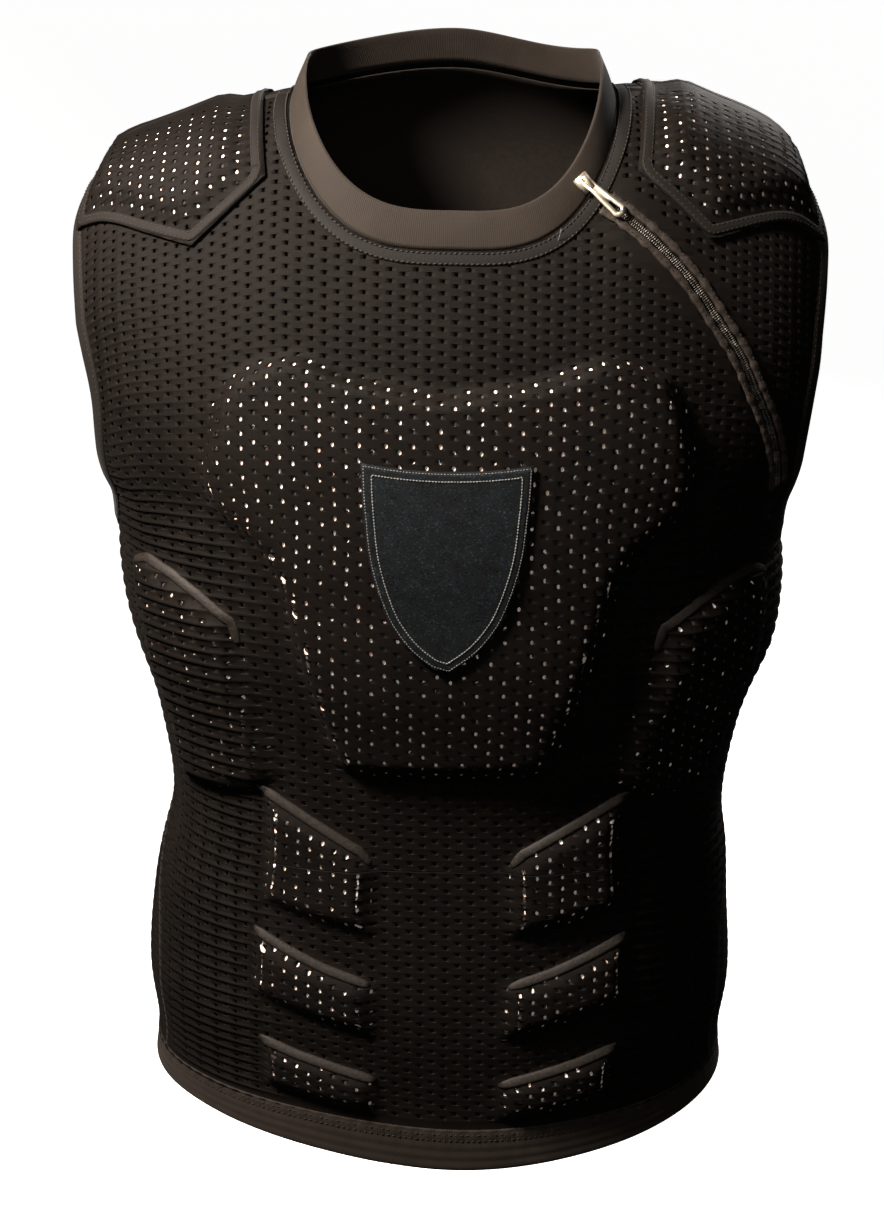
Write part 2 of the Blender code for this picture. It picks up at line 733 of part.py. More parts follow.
def slider():
    frame = slider_frame()
    work = bmesh.new()
    half_l, half_w = SLIDER_LENGTH / 2, SLIDER_WIDTH / 2
    box(work, (-half_l, -half_w, 0), (half_l, half_w, SLIDER_HEIGHT))
    mesh = bpy.data.meshes.new("zip_slider")
    work.to_mesh(mesh)
    work.free()
    block = new_object("zip_slider", mesh, "metal", VEST)
    bridge = plate_object("zip_bridge", bridge_outline(), [], BRIDGE_WIDTH, "metal")
    bridge.data.transform(Matrix.Rotation(math.radians(90), 4, "X"))
    as_cutter(bridge)
    cut(block, bridge, "UNION")
    block.matrix_world = frame
    bridge.matrix_world = frame


def bridge_outline():
    # Side view of the arch that holds the puller, feet sunk into the slider
    half = BRIDGE_LENGTH / 2
    top = SLIDER_HEIGHT + BRIDGE_CLEAR + BRIDGE_WALL
    foot = SLIDER_HEIGHT - BRIDGE_SINK
    under = SLIDER_HEIGHT + BRIDGE_CLEAR
    inner = half - BRIDGE_WALL
    corner = BRIDGE_CHAMFER
    return [(-half, foot), (-half, top - corner), (-half + corner, top), (half - corner, top),
            (half, top - corner), (half, foot), (inner, foot), (inner, under), (-inner, under), (-inner, foot)]


def arc(centre, radius, start, end, count):
    turns = [math.radians(start + (end - start) * k / count) for k in range(count + 1)]
    return [(centre + radius * math.cos(turn), radius * math.sin(turn)) for turn in turns]


def puller():
    # A tapering plate: a window at the narrow end hooks it under the arch, a slot is at the round end
    half, neck = PULLER_WIDTH / 2, PULLER_NECK / 2
    edge = BRIDGE_CLEAR / 2 - PIVOT_CLEAR
    window_end = edge + WINDOW_LENGTH
    centre = PULLER_LENGTH - half
    outline = arc(centre, half, -PULLER_TURN, PULLER_TURN, 8)
    outline += [(window_end, neck), (-edge, neck), (-edge, -neck), (window_end, -neck)]
    rail = BRIDGE_WIDTH / 2 + PIVOT_CLEAR
    window = [(edge, rail), (window_end, rail), (window_end, -rail), (edge, -rail)]
    slit = KEYHOLE_SLIT / 2
    slot = arc(centre, KEYHOLE_RADIUS, -130, 130, 6)
    tail = centre - KEYHOLE_TAIL
    slot += [(tail + slit, slit), (tail, 0), (tail + slit, -slit)]
    obj = plate_object("zip_puller", outline, [window, slot], PULLER_WALL, "metal")
    obj.matrix_world = puller_frame()


def main():
    front = panel("front_panel", FRONT, *FRONT_LEVELS)
    panel("back_panel", BACK, *BACK_LEVELS)
    front_room = room("front_room", FRONT, *FRONT_LEVELS)
    back_room = room("back_room", BACK, *BACK_LEVELS)
    collar()
    hem()
    for hand, word in ((LEFT, "left"), (RIGHT, "right")):
        binding("armhole_binding_" + word, hand)
        shoulder_cover(hand, "shoulder_cover_" + word, "shoulder_pad_" + word)
        turn = [(hand * across, top, low) for across, top, low in FLANK_OUTLINE][::hand]
        pad("flank_pad_" + word, FRONT, turn, front_room, 3)
        for level, rows in BELLY_OUTLINES.items():
            turn = [(hand * across, top, low) for across, top, low in rows][::hand]
            pad("belly_pad_" + level + "_" + word, FRONT, turn, front_room, 2)
    pad("chest_pad", FRONT, both_halves(CHEST_OUTLINE), front_room, 6)
    pad("spine_pad", BACK, both_halves(SPINE_OUTLINE), back_room, 6)
    chest_patch()
    zipper(front, front_room)
    slider()
    puller()


for old in list(bpy.data.objects):
    bpy.data.objects.remove(old)
VEST = bpy.data.collections.new("protector_vest")
CUTTERS = bpy.data.collections.new("cutters")
for made in (VEST, CUTTERS):
    bpy.context.scene.collection.children.link(made)
MATERIALS = {}
for word, (colour, roughness, metallic) in COLOURS.items():
    material = bpy.data.materials.new(word)
    material.use_nodes = True
    shader = material.node_tree.nodes["Principled BSDF"]
    shader.inputs["Base Color"].default_value = (*colour, 1)
    shader.inputs["Roughness"].default_value = roughness
    shader.inputs["Metallic"].default_value = metallic
    MATERIALS[word] = material
main()
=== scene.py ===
# The look of a padded protector vest: perforated stretch mesh over foam pads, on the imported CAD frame.
# Metres, +Z up, +X to the wearer's left, the front facing -Y.
# A place on the cloth is flat: x is the run from the middle towards the side seam, y the way down from the
# shoulder ridge, both as on the body at its widest. Side is -1 for the front and 1 for the back.
import math

import bmesh
import bpy
import numpy as np
from mathutils import Matrix, Vector


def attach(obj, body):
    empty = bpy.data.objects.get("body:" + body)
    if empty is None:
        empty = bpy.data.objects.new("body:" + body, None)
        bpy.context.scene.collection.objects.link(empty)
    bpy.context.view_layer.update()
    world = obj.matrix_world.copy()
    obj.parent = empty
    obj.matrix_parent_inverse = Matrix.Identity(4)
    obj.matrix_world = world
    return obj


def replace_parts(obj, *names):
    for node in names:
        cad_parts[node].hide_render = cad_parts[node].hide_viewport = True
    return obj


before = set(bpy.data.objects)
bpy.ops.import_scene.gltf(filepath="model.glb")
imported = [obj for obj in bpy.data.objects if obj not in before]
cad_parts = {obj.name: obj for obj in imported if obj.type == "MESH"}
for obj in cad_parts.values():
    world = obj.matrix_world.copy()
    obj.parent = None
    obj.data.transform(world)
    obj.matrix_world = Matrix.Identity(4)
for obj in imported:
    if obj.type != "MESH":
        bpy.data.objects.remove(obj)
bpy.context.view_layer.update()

front, back = -1, 1
left, right = 1, -1
bothSides = ((front, "front"), (back, "back"))
bothHands = ((left, "left"), (right, "right"))

# The body that the cloth lies on
bodySize = {
    "chestWidth": 0.392, "chestDepth": 0.250, "length": 0.620, "armholeDrop": 0.250, "shoulderDrop": 0.055,
    "neckWidth": 0.180, "napeRise": 0.0205, "ridgeY": 0.012, "hemLift": 0.024, "hemStart": 0.85,
    "hemHeight": 0.026, "sectionPower": 2.3, "profilePower": {front: 2.1, back: 3.0}, "neckPower": 2.9,
    "neckClimb": {front: 0.49, back: 0.727}, "armholeCut": 0.30, "armholeCorner": 0.35,
}
bodyLevels = np.array((
    # drop, width, front, back, as shares of the half width and half depth
    (1.000, 0.914, 0.960, 0.860), (0.930, 0.902, 0.955, 0.860), (0.858, 0.924, 0.965, 0.880),
    (0.769, 0.903, 0.945, 0.840), (0.683, 0.862, 0.930, 0.780), (0.586, 0.911, 0.960, 0.800),
    (0.502, 0.988, 1.020, 0.880), (0.40323, 1.020, 1.040, 0.950),
))
bodyDrape = np.array((
    # drop, sideways shift, change of the half width
    (0.14, 0.0, 0.0), (0.178, 0.0018, -0.0005), (0.223, 0.0027, -0.0015), (0.269, 0.0018, -0.0021),
    (0.292, 0.0015, -0.0027), (0.316, 0.0014, -0.0048), (0.340, 0.0019, -0.0080), (0.363, 0.0017, -0.0080),
    (0.388, 0.0018, -0.0062), (0.424, 0.0032, -0.0026), (0.464, 0.0045, -0.0018), (0.505, 0.0056, -0.0026),
    (0.547, 0.0048, -0.0042), (0.589, 0.0040, -0.0038),
    (0.631, 0.0039, -0.0027), (0.674, 0.0036, -0.0012), (0.717, 0.0024, 0.0012), (0.761, 0.0006, 0.0),
    (0.90, 0.0, 0.0),
))
shoulderSway = np.array((
    # sideways place, rise: the wearer's left shoulder is the higher
    (-0.205, 0.0), (-0.175, -0.0055), (-0.13, -0.0038), (-0.10, 0.0), (-0.08, -0.0005), (0.0, 0.0),
    (0.08, 0.0005), (0.105, 0.0080), (0.15, 0.0066), (0.18, 0.0050), (0.205, 0.0),
))
hemSway = np.array((
    # sideways place, rise of the hem
    (-0.18, 0.0), (-0.15, 0.0045), (-0.12, 0.0060), (-0.07, 0.0055), (-0.03, 0.0025), (0.0, 0.0),
    (0.10, 0.0),
))
shoulderLevels = np.array((
    # climb up the armhole, width
    (0.0, 1.020), (0.2, 1.140), (0.4, 1.205), (0.5, 1.220), (0.6, 1.230),
    (0.7, 1.235), (0.8, 1.225), (0.9, 1.212), (1.0, 1.195),
))
shoulderLine = np.array((
    # way out along the ridge, share of the drop
    (0.00, 0.00), (0.33, 0.155), (0.50, 0.264), (0.66, 0.38), (0.785, 0.50), (0.86, 0.62), (0.934, 0.80),
    (1.0, 1.0),
))
padOutlines = {
    # across, top, bottom, on the wearer's left half
    "chest": ((0.000, 0.230, 0.598), (0.170, 0.215, 0.597), (0.245, 0.201, 0.594), (0.275, 0.200, 0.575),
              (0.310, 0.203, 0.520), (0.335, 0.206, 0.468), (0.365, 0.211, 0.415), (0.400, 0.216, 0.385),
              (0.440, 0.244, 0.368), (0.475, 0.285, 0.356), (0.500, 0.318, 0.344)),
    "flank": ((0.410, 0.570, 0.602), (0.430, 0.540, 0.612), (0.452, 0.475, 0.620), (0.470, 0.443, 0.626),
              (0.550, 0.422, 0.632), (0.620, 0.408, 0.636), (0.700, 0.400, 0.638), (0.770, 0.410, 0.630)),
    "bellyTop": ((0.160, 0.682, 0.760), (0.210, 0.662, 0.757), (0.340, 0.635, 0.747),
                 (0.470, 0.608, 0.736)),
    "bellyMiddle": ((0.145, 0.799, 0.865), (0.280, 0.783, 0.853), (0.380, 0.768, 0.842),
                    (0.475, 0.752, 0.830)),
    "bellyBottom": ((0.140, 0.900, 0.950), (0.240, 0.891, 0.949), (0.350, 0.880, 0.944),
                    (0.450, 0.867, 0.936)),
    "spine": ((0.000, 0.120, 0.800), (0.160, 0.130, 0.795), (0.280, 0.165, 0.760), (0.340, 0.260, 0.660)),
}
padRaise = {"chest": 0.0085, "flank": 0.0065, "bellyTop": 0.0065, "bellyMiddle": 0.0065,
            "bellyBottom": 0.0065,
            "spine": 0.0100}
padBevel = 0.014
clothWall = 0.0006


# The body's surface, for whole arrays of places

def through(x, xs, ys):
    # The smooth curve through the points
    if xs[0] > xs[-1]:
        xs, ys = xs[::-1], ys[::-1]
    slope = np.gradient(ys, xs)
    x = np.clip(x, xs[0], xs[-1])
    i = np.clip(np.searchsorted(xs, x) - 1, 0, len(xs) - 2)
    step = xs[i + 1] - xs[i]
    t = (x - xs[i]) / step
    start = (1 + 2 * t) * (1 - t) ** 2 * ys[i] + t * (1 - t) ** 2 * step * slope[i]
    return start + t * t * (3 - 2 * t) * ys[i + 1] + t * t * (t - 1) * step * slope[i + 1]


def smooth(t):
    t = np.clip(t, 0, 1)
    return t * t * (3 - 2 * t)


angles = np.linspace(0, math.pi / 2, 91)
reach = (np.sin(angles) ** bodySize["sectionPower"] + np.cos(angles) ** bodySize["sectionPower"]) ** (
    1 / bodySize["sectionPower"])
sidewaysShares = np.sin(angles) / reach
forwardShares = np.cos(angles) / reach
arc = np.concatenate([[0], np.cumsum(np.hypot(np.diff(sidewaysShares) * bodySize["chestWidth"] / 2,
                                              np.diff(forwardShares) * bodySize["chestDepth"] / 2))])
girth = arc[-1]  # from the middle to the side seam
length = bodySize["length"]
armholeLevel = bodySize["armholeDrop"] / length
hemLevel = 1 - bodySize["hemHeight"] / length
shoulderWidth = shoulderLevels[-1, 1] * bodySize["chestWidth"] / 2


def widthShare(side, drop):
    above = through(climbOf(side, drop)[2], *shoulderLevels.T)
    return np.where(drop >= armholeLevel, through(np.maximum(drop, armholeLevel), *bodyLevels[:, :2].T),
                    above)


def climbOf(side, drop):
    power = bodySize["profilePower"][side]
    high = np.clip(1 - drop / armholeLevel, 0, 1)
    deep = (1 - high ** power) ** (1 / power)
    return deep, high, np.arctan2(high, deep) * 2 / math.pi


def dropAt(side, climb):
    power = bodySize["profilePower"][side]
    cosine, sine = np.cos(climb * math.pi / 2), np.sin(climb * math.pi / 2)
    return armholeLevel * (1 - sine / (cosine ** power + sine ** power) ** (1 / power))


def ridgeHeight(side, x):
    neck = bodySize["neckWidth"] / 2
    tip = shoulderWidth * np.interp((1 - bodySize["armholeCut"]) * girth, arc, sidewaysShares)
    out = through((np.abs(x) - neck) / (tip - neck), *shoulderLine.T)
    rise = (bodySize["napeRise"] if side == back else 0) * (1 - (x / neck) ** 2)
    return np.where(np.abs(x) > neck, -bodySize["shoulderDrop"] * out, rise)


def body(side, x, y, proud=0.0):
    # Points of the body at flat places, moved outward by proud
    x, y, proud = np.broadcast_arrays(np.asarray(x, float), np.asarray(y, float), np.asarray(proud, float))
    drop = y / length
    sideways = np.sign(x) * np.interp(np.abs(x), arc, sidewaysShares)
    forward = np.interp(np.abs(x), arc, forwardShares)
    low = np.maximum(drop, armholeLevel)
    width = through(low, *bodyLevels[:, :2].T) * bodySize["chestWidth"] / 2
    depths = bodyLevels[:, 2 if side == front else 3]
    depth = through(low, bodyLevels[:, 0], depths) * bodySize["chestDepth"] / 2
    past = np.clip((drop - bodySize["hemStart"]) / (1 - bodySize["hemStart"]), 0, None)
    lift = bodySize["hemLift"] * sideways ** 2 * past ** 2
    out = side * forward * (depth + proud)
    lower = np.stack([sideways * (width + proud), out, lift - drop * length], -1)
    deep, high, climb = climbOf(side, drop)
    width = through(climb, *shoulderLevels.T) * bodySize["chestWidth"] / 2 + proud
    ridge = bodySize["ridgeY"]
    rise = bodySize["armholeDrop"] + ridgeHeight(side, sideways * shoulderWidth) + proud
    upper = np.stack([sideways * width, ridge + (out - ridge) * deep,
                      rise * high - bodySize["armholeDrop"]], -1)
    shift, slim = through(drop, *bodyDrape[:, :2].T), through(drop, *bodyDrape[:, ::2].T)
    placed = np.where((drop >= armholeLevel)[..., None], lower, upper)
    sway = through(placed[..., 0], *shoulderSway.T) * high ** 1.5
    rise = sway + through(placed[..., 0], *hemSway.T) * smooth((drop - 0.80) / 0.2) * (side == front)
    return placed + np.stack([shift * sideways ** 2 + sideways * slim, np.zeros_like(drop), rise], -1)


def armholeEdge(climb):
    corner = 1 - np.minimum(1, climb / bodySize["armholeCorner"])
    return 1 - bodySize["armholeCut"] * np.sqrt(np.maximum(0, 1 - corner ** 2))


def onPanel(share, climb):
    return share * (1 - (1 - armholeEdge(climb)) * np.abs(share))


neckAcross = np.interp(bodySize["neckWidth"] / 2 / shoulderWidth, sidewaysShares, arc) / girth
neckShare = (1 - math.sqrt(1 - 4 * bodySize["armholeCut"] * neckAcross)) / (2 * bodySize["armholeCut"])


def neckEdge(side, share):
    # Flat places on the neck's edge
    power = bodySize["neckPower"]
    across = np.minimum(1, np.abs(share) / neckShare)
    climb = 1 - (1 - bodySize["neckClimb"][side]) * (1 - across ** power) ** (1 / power)
    return np.stack([onPanel(share, climb) * girth, dropAt(side, climb) * length], -1)


def armholePlaces(side, hand, count):
    climb = np.linspace(0, 1, count) ** 1.4
    return np.stack([hand * armholeEdge(climb) * girth,
                     np.minimum(dropAt(side, climb), armholeLevel - 1e-9) * length], -1)


def panelOutline(side, low=hemLevel * length):
    neck = neckEdge(side, neckShare * np.sin(np.linspace(math.pi / 2, -math.pi / 2, 81)))
    return np.concatenate([[(-girth, low), (girth, low)], armholePlaces(side, left, 60), neck,
                           armholePlaces(side, right, 60)[::-1]])


def padPlaces(rows, hand=1):
    across, top, bottom = np.array(rows).T
    top, bottom = (np.stack([across * girth, level * length], -1) for level in (top, bottom))
    return np.concatenate([top, bottom[::-1]]) * (hand, 1)


def bothHalves(rows):
    return tuple((-across, high, low) for across, high, low in reversed(rows) if across) + tuple(rows)


def edgeDistance(places, outline, closed=True):
    # How far each place is from the outline, the nearest point on it, and whether the place is inside
    ends = np.roll(outline, -1, axis=0) if closed else outline[1:]
    starts = outline if closed else outline[:-1]
    best = np.full(len(places), np.inf)
    nearest = np.zeros_like(places)
    crossed = np.zeros(len(places), int)
    x, y = places.T
    for a, b in zip(starts, ends):
        run = b - a
        share = np.clip(((places - a) @ run) / max(run @ run, 1e-15), 0, 1)
        point = a + share[:, None] * run
        apart = np.hypot(*(places - point).T)
        closer = apart < best
        best[closer], nearest[closer] = apart[closer], point[closer]
        if a[1] != b[1]:
            crossed += ((a[1] > y) != (b[1] > y)) & (x < a[0] + (y - a[1]) * run[0] / run[1])
    return best, nearest, crossed % 2 == 1


pads = {front: [(padPlaces(bothHalves(padOutlines["chest"])), padRaise["chest"])],
        back: [(padPlaces(bothHalves(padOutlines["spine"])), padRaise["spine"])]}
for hand in (left, right):
    for word in ("flank", "bellyTop", "bellyMiddle", "bellyBottom"):
        pads[front].append((padPlaces(padOutlines[word], hand), padRaise[word]))


def raised(side, places):
    # How far the pads lift the cloth, and how near each place is to a pad
    lift = np.zeros(len(places))
    over = np.zeros(len(places))
    for outline, height in pads[side]:
        low, high = outline.min(0) - 0.03, outline.max(0) + 0.03
        near = np.flatnonzero((places > low).all(1) & (places < high).all(1))
        if not len(near):
            continue
        apart, _, inside = edgeDistance(places[near], outline)
        lift[near] = np.maximum(lift[near], height * smooth(np.where(inside, apart, 0) / padBevel))
        over[near] = np.maximum(over[near], smooth(np.where(inside, 1, 1 - apart / 0.006)))
    return lift, over


def cloth(side, places, extra=0.0, relief=True):
    # Points of the cloth's outer face and the directions outward there
    places = np.asarray(places, float)
    small = 1e-3

    def at(step):
        moved = places + step
        moved[:, 1] = np.maximum(moved[:, 1], 1e-6)
        lift = raised(side, moved)[0] if relief else 0.0
        return body(side, moved[:, 0], moved[:, 1], lift)

    here = at(np.zeros(2))
    normal = np.cross(at(np.array((small, 0))) - at(np.array((-small, 0))), at(np.array((0, small))) - here)
    normal /= np.maximum(np.linalg.norm(normal, axis=1), 1e-12)[:, None]
    normal *= side
    return here + normal * np.reshape(extra, (-1, 1)), normal


# Shader trees

class Number:
    # A number in a shader tree that adds, multiplies and so on
    def __init__(self, tree, socket):
        self.tree, self.socket = tree, socket

    def sum(self, kind, first, second=None):
        node = self.tree.nodes.new("ShaderNodeMath")
        node.operation = kind
        for slot, value in zip(node.inputs, (first, second)):
            if isinstance(value, Number):
                self.tree.links.new(value.socket, slot)
            elif value is not None:
                slot.default_value = value
        return Number(self.tree, node.outputs[0])

    def __add__(self, other):
        return self.sum("ADD", self, other)

    def __radd__(self, other):
        return self.sum("ADD", other, self)

    def __sub__(self, other):
        return self.sum("SUBTRACT", self, other)

    def __rsub__(self, other):
        return self.sum("SUBTRACT", other, self)

    def __mul__(self, other):
        return self.sum("MULTIPLY", self, other)

    def __rmul__(self, other):
        return self.sum("MULTIPLY", other, self)

    def __gt__(self, other):
        return self.sum("GREATER_THAN", self, other)

    def sine(self):
        return self.sum("SINE", self)

    def round(self):
        return self.sum("ROUND", self)

    def root(self):
        return self.sum("SQRT", self)


class Shader:
    def __init__(self, name, roughness=0.7, **constants):
        self.material = bpy.data.materials.new(name)
        self.material.use_nodes = True
        self.tree = self.material.node_tree
        self.end = self.tree.nodes["Principled BSDF"]
        self.end.inputs["Roughness"].default_value = roughness
        for word, value in constants.items():
            self.end.inputs[word.replace("_", " ")].default_value = value

    def node(self, kind, settings=None, values=None, out=0):
        made = self.tree.nodes.new("ShaderNode" + kind)
        for word, value in (settings or {}).items():
            setattr(made, word, value)
        for word, value in (values or {}).items():
            self.fill(made.inputs[word], value)
        return Number(self.tree, made.outputs[out])

    def fill(self, slot, value):
        if isinstance(value, Number):
            self.tree.links.new(value.socket, slot)
        else:
            slot.default_value = value

    def flat(self):
        # The piece's own flat coordinates, in millimetres
        place = self.node("UVMap", {"uv_map": "cloth"})
        return (self.node("SeparateXYZ", values={0: place}, out=k) * 1000 for k in (0, 1))

    def solid(self):
        return self.node("TexCoord", out=3)

    def noise(self, where, scale, detail=3.0, roughness=0.5):
        return self.node("TexNoise",
                         values={"Vector": where, "Scale": scale, "Detail": detail, "Roughness": roughness})

    def ramp(self, share, low, high, start=0.0, end=1.0):
        # Colours from low to high as the share goes from start to end
        eased = self.node("MapRange", {"clamp": True}, {0: share, 1: start, 2: end, 3: 0.0, 4: 1.0})
        return self.node("Mix", {"data_type": "RGBA"}, {0: eased, 6: (*low, 1), 7: (*high, 1)}, out=2)

    def blend(self, share, low, high):
        return self.node("Mix", {"data_type": "RGBA"}, {0: share, 6: low, 7: high}, out=2)

    def colour(self, value):
        self.fill(self.end.inputs["Base Color"], value)

    def rough(self, value):
        self.fill(self.end.inputs["Roughness"], value)

    def bump(self, height, distance, strength=1.0):
        normal = self.node("Bump", values={"Height": height, "Distance": distance, "Strength": strength})
        self.fill(self.end.inputs["Normal"], normal)


def meshClothShader():
    # Knitted stretch mesh: fine wales and courses, slightly uneven in tone
    s = Shader("mesh cloth", 0.62, Sheen_Weight=0.008, Sheen_Roughness=0.45, Specular_IOR_Level=0.055)
    x, y = s.flat()
    wales = (x * (math.tau / 0.71)).sine()
    courses = (y * (math.tau / 0.62)).sine()
    knit = wales * courses * 0.5 + 0.5
    uneven = s.noise(s.solid(), 38.0, 4.0)
    tone = s.ramp(knit * 0.35 + uneven * 0.65, (0.0016, 0.0012, 0.0009), (0.0050, 0.0037, 0.0029), 0.25,
                  0.8)
    s.colour(tone)
    s.rough(uneven * 0.14 + 0.52)
    s.bump(knit * 0.7 + s.noise(s.solid(), 900.0, 2.0) * 0.5, 0.00022, 0.6)
    return s.material


def knitShader(name, low, high, rib):
    # Close knit for the collar, hem and bindings, with ribs across the band
    s = Shader(name, 0.72, Sheen_Weight=0.03, Sheen_Roughness=0.5, Specular_IOR_Level=0.10)
    x, y = s.flat()
    ribs = (x * (math.tau / rib)).sine() * 0.5 + 0.5
    loops = (y * (math.tau / 0.7)).sine() * 0.5 + 0.5
    uneven = s.noise(s.solid(), 60.0, 4.0)
    s.colour(s.ramp(ribs * 0.25 + loops * 0.15 + uneven * 0.6, low, high, 0.2, 0.8))
    s.rough(uneven * 0.15 + 0.62)
    s.bump(ribs * 0.7 + loops * 0.3, 0.00018, 0.5)
    return s.material


# Spacing in millimetres, and how fast the rows lean
foamHoles = {"along": 9.35, "down": 10.6, "lean": 61.0}


def foamShader(name, holeShadeRadius):
    # Pale foam with its own perforation, which falls in and out of step with the mesh above it. Its holes
    # are painted as near-black spots: painted shade inside the holes
    s = Shader(name, 0.85, Subsurface_Weight=0.15, Subsurface_Radius=(0.004, 0.002, 0.0015),
               Subsurface_Scale=0.4)
    x, y = s.flat()
    along, down = x * (1 / foamHoles["along"]) + y * (1 / foamHoles["lean"]), y * (1 / foamHoles["down"])
    alongGap = (along - along.round()) * foamHoles["along"]
    downGap = (down - down.round()) * foamHoles["down"]
    apart = (alongGap * alongGap + downGap * downGap).root()
    uneven = s.noise(s.solid(), 95.0, 3.0)
    # Painted shade: near-black spots where the foam's holes are
    hole = (uneven * 1.4 + holeShadeRadius) > apart
    tone = s.ramp(uneven, (0.62, 0.45, 0.36), (0.93, 0.86, 0.80), 0.3, 0.62)
    s.colour(s.blend(hole, tone, (0.012, 0.009, 0.008, 1)))
    s.bump(s.noise(s.solid(), 1400.0, 2.0), 0.0002, 0.5)
    return s.material


def plainShader(name, low, high, roughness, scale, bump, **constants):
    s = Shader(name, roughness, **{"Specular_IOR_Level": 0.15, **constants})
    grain = s.noise(s.solid(), scale, 4.0)
    s.colour(s.ramp(grain, low, high, 0.3, 0.7))
    s.rough(grain * 0.12 + roughness - 0.06)
    s.bump(grain, bump, 0.5)
    return s.material


def patchShader():
    # Felt with fine glitter: small cells, a few of them bright. The flakes are real and glossy; their
    # bright colour is a painted glint
    s = Shader("patch felt", 0.6, Sheen_Weight=0.0, Specular_IOR_Level=0.12)
    cells = s.node("TexVoronoi", {"feature": "F1"}, {"Vector": s.solid(), "Scale": 1500.0}, out=1)
    pick = s.node("SeparateColor", values={0: cells}, out=0)
    uneven = s.noise(s.solid(), 120.0, 5.0)
    dark = s.ramp(uneven, (0.0008, 0.0012, 0.0016), (0.0026, 0.0042, 0.0056), 0.3, 0.7)
    # Painted glint: the brightest flakes get a pale colour
    s.colour(s.blend((pick > 0.93) * uneven * 0.5, dark, (0.040, 0.055, 0.065, 1)))
    s.rough(0.75 - (pick > 0.86) * 0.45)
    s.bump(pick * 0.6 + uneven, 0.0003, 0.7)
    return s.material


def metalShader():
    # Pale plated zinc, worn along its run
    s = Shader("pale plated zinc", 0.28, Metallic=0.85)
    grain = s.noise(s.solid(), 260.0, 4.0)
    s.colour(s.ramp(grain, (0.72, 0.63, 0.46), (0.92, 0.87, 0.74), 0.3, 0.65))
    s.rough(grain * 0.2 + 0.26)
    s.bump(grain, 0.00008, 0.4)
    return s.material


looks = {
    "mesh": meshClothShader(),
    "knit": knitShader("knit band", (0.0095, 0.0072, 0.0055), (0.0200, 0.0155, 0.0122), 1.15),
    "binding": knitShader("binding", (0.0024, 0.0019, 0.0015), (0.0060, 0.0047, 0.0038), 0.9),
    "foam": foamShader("foam", 3.2), "sparsefoam": foamShader("flank foam", 4.5),
    "backing": plainShader("pad backing", (0.012, 0.010, 0.009), (0.024, 0.020, 0.018), 0.8, 700.0, 0.0002),
    # Near-black: painted shade on the sheets inside the vest, and the zip tape's own dark colour
    "shadeSheetAndTape": plainShader("shadeSheetAndTape", (0.0060, 0.0045, 0.0035), (0.0095, 0.0072, 0.0056), 0.85, 420.0,
                          0.00015),
    "thread": plainShader("thread", (0.0065, 0.0052, 0.0043), (0.0190, 0.0155, 0.0128), 0.5, 1800.0,
                          0.0001),
    "palethread": plainShader("pale thread", (0.055, 0.056, 0.055), (0.15, 0.15, 0.145), 0.55, 1800.0,
                              0.0001),
    "patch": patchShader(),
    "coil": plainShader("coil nylon", (0.020, 0.018, 0.016), (0.090, 0.080, 0.068), 0.34, 900.0, 0.00005,
                        Specular_IOR_Level=0.5),
    "lip": plainShader("folded edge", (0.0085, 0.0066, 0.0052), (0.0240, 0.0190, 0.0155), 0.6, 520.0,
                       0.0003),
    # Lighter than the mesh: painted highlight on the pads' raised top edges
    "padEdgeHighlight": plainShader("pad edge highlight", (0.0040, 0.0031, 0.0024), (0.0140, 0.0110, 0.0088), 0.6, 620.0, 0.0005),
    "seam": plainShader("seam tape", (0.0012, 0.0009, 0.0007), (0.0036, 0.0027, 0.0021), 0.7, 700.0,
                        0.0003),
    "metal": metalShader(),
}


# Mesh makers

def piece(name, points, groups, look, flat=None, rideOn="vest", more=()):
    # A mesh from points and arrays of faces, one face a row, with its flat coordinates as a UV map
    groups = [np.asarray(g, int) for g in groups if len(g)]
    corners = np.concatenate([g.reshape(-1) for g in groups])
    counts = np.concatenate([np.full(len(g), g.shape[1]) for g in groups])
    used, corners = np.unique(corners, return_inverse=True)
    mesh = bpy.data.meshes.new(name)
    mesh.vertices.add(len(used))
    mesh.vertices.foreach_set("co", np.ascontiguousarray(points[used], np.float32).reshape(-1))
    mesh.loops.add(len(corners))
    mesh.loops.foreach_set("vertex_index", corners.astype(np.int32))
    mesh.polygons.add(len(counts))
    mesh.polygons.foreach_set("loop_start", (np.cumsum(counts) - counts).astype(np.int32))
    mesh.polygons.foreach_set("use_smooth", np.ones(len(counts), bool))
    mesh.update(calc_edges=True)
    layer = mesh.uv_layers.new(name="cloth")
    places = flat if flat is not None else points[:, [0, 2]]
    layer.data.foreach_set("uv", np.ascontiguousarray(places[used][corners], np.float32).reshape(-1))
    mesh.validate()
    obj = bpy.data.objects.new(name, mesh)
    bpy.context.scene.collection.objects.link(obj)
    for word in (look, *more):
        mesh.materials.append(looks[word])
    if rideOn:
        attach(obj, rideOn)
    return obj


def gridFaces(rows, columns, start=0, wrapRows=False, wrapColumns=False, flip=False):
    j, i = np.meshgrid(np.arange(rows - (not wrapRows)), np.arange(columns - (not wrapColumns)),
                       indexing="ij")
    j, i = j.reshape(-1), i.reshape(-1)
    after, beside = (j + 1) % rows, (i + 1) % columns
    quads = np.stack([j * columns + i, j * columns + beside, after * columns + beside, after * columns + i],
                     -1) + start
    return quads[:, ::-1] if flip else quads


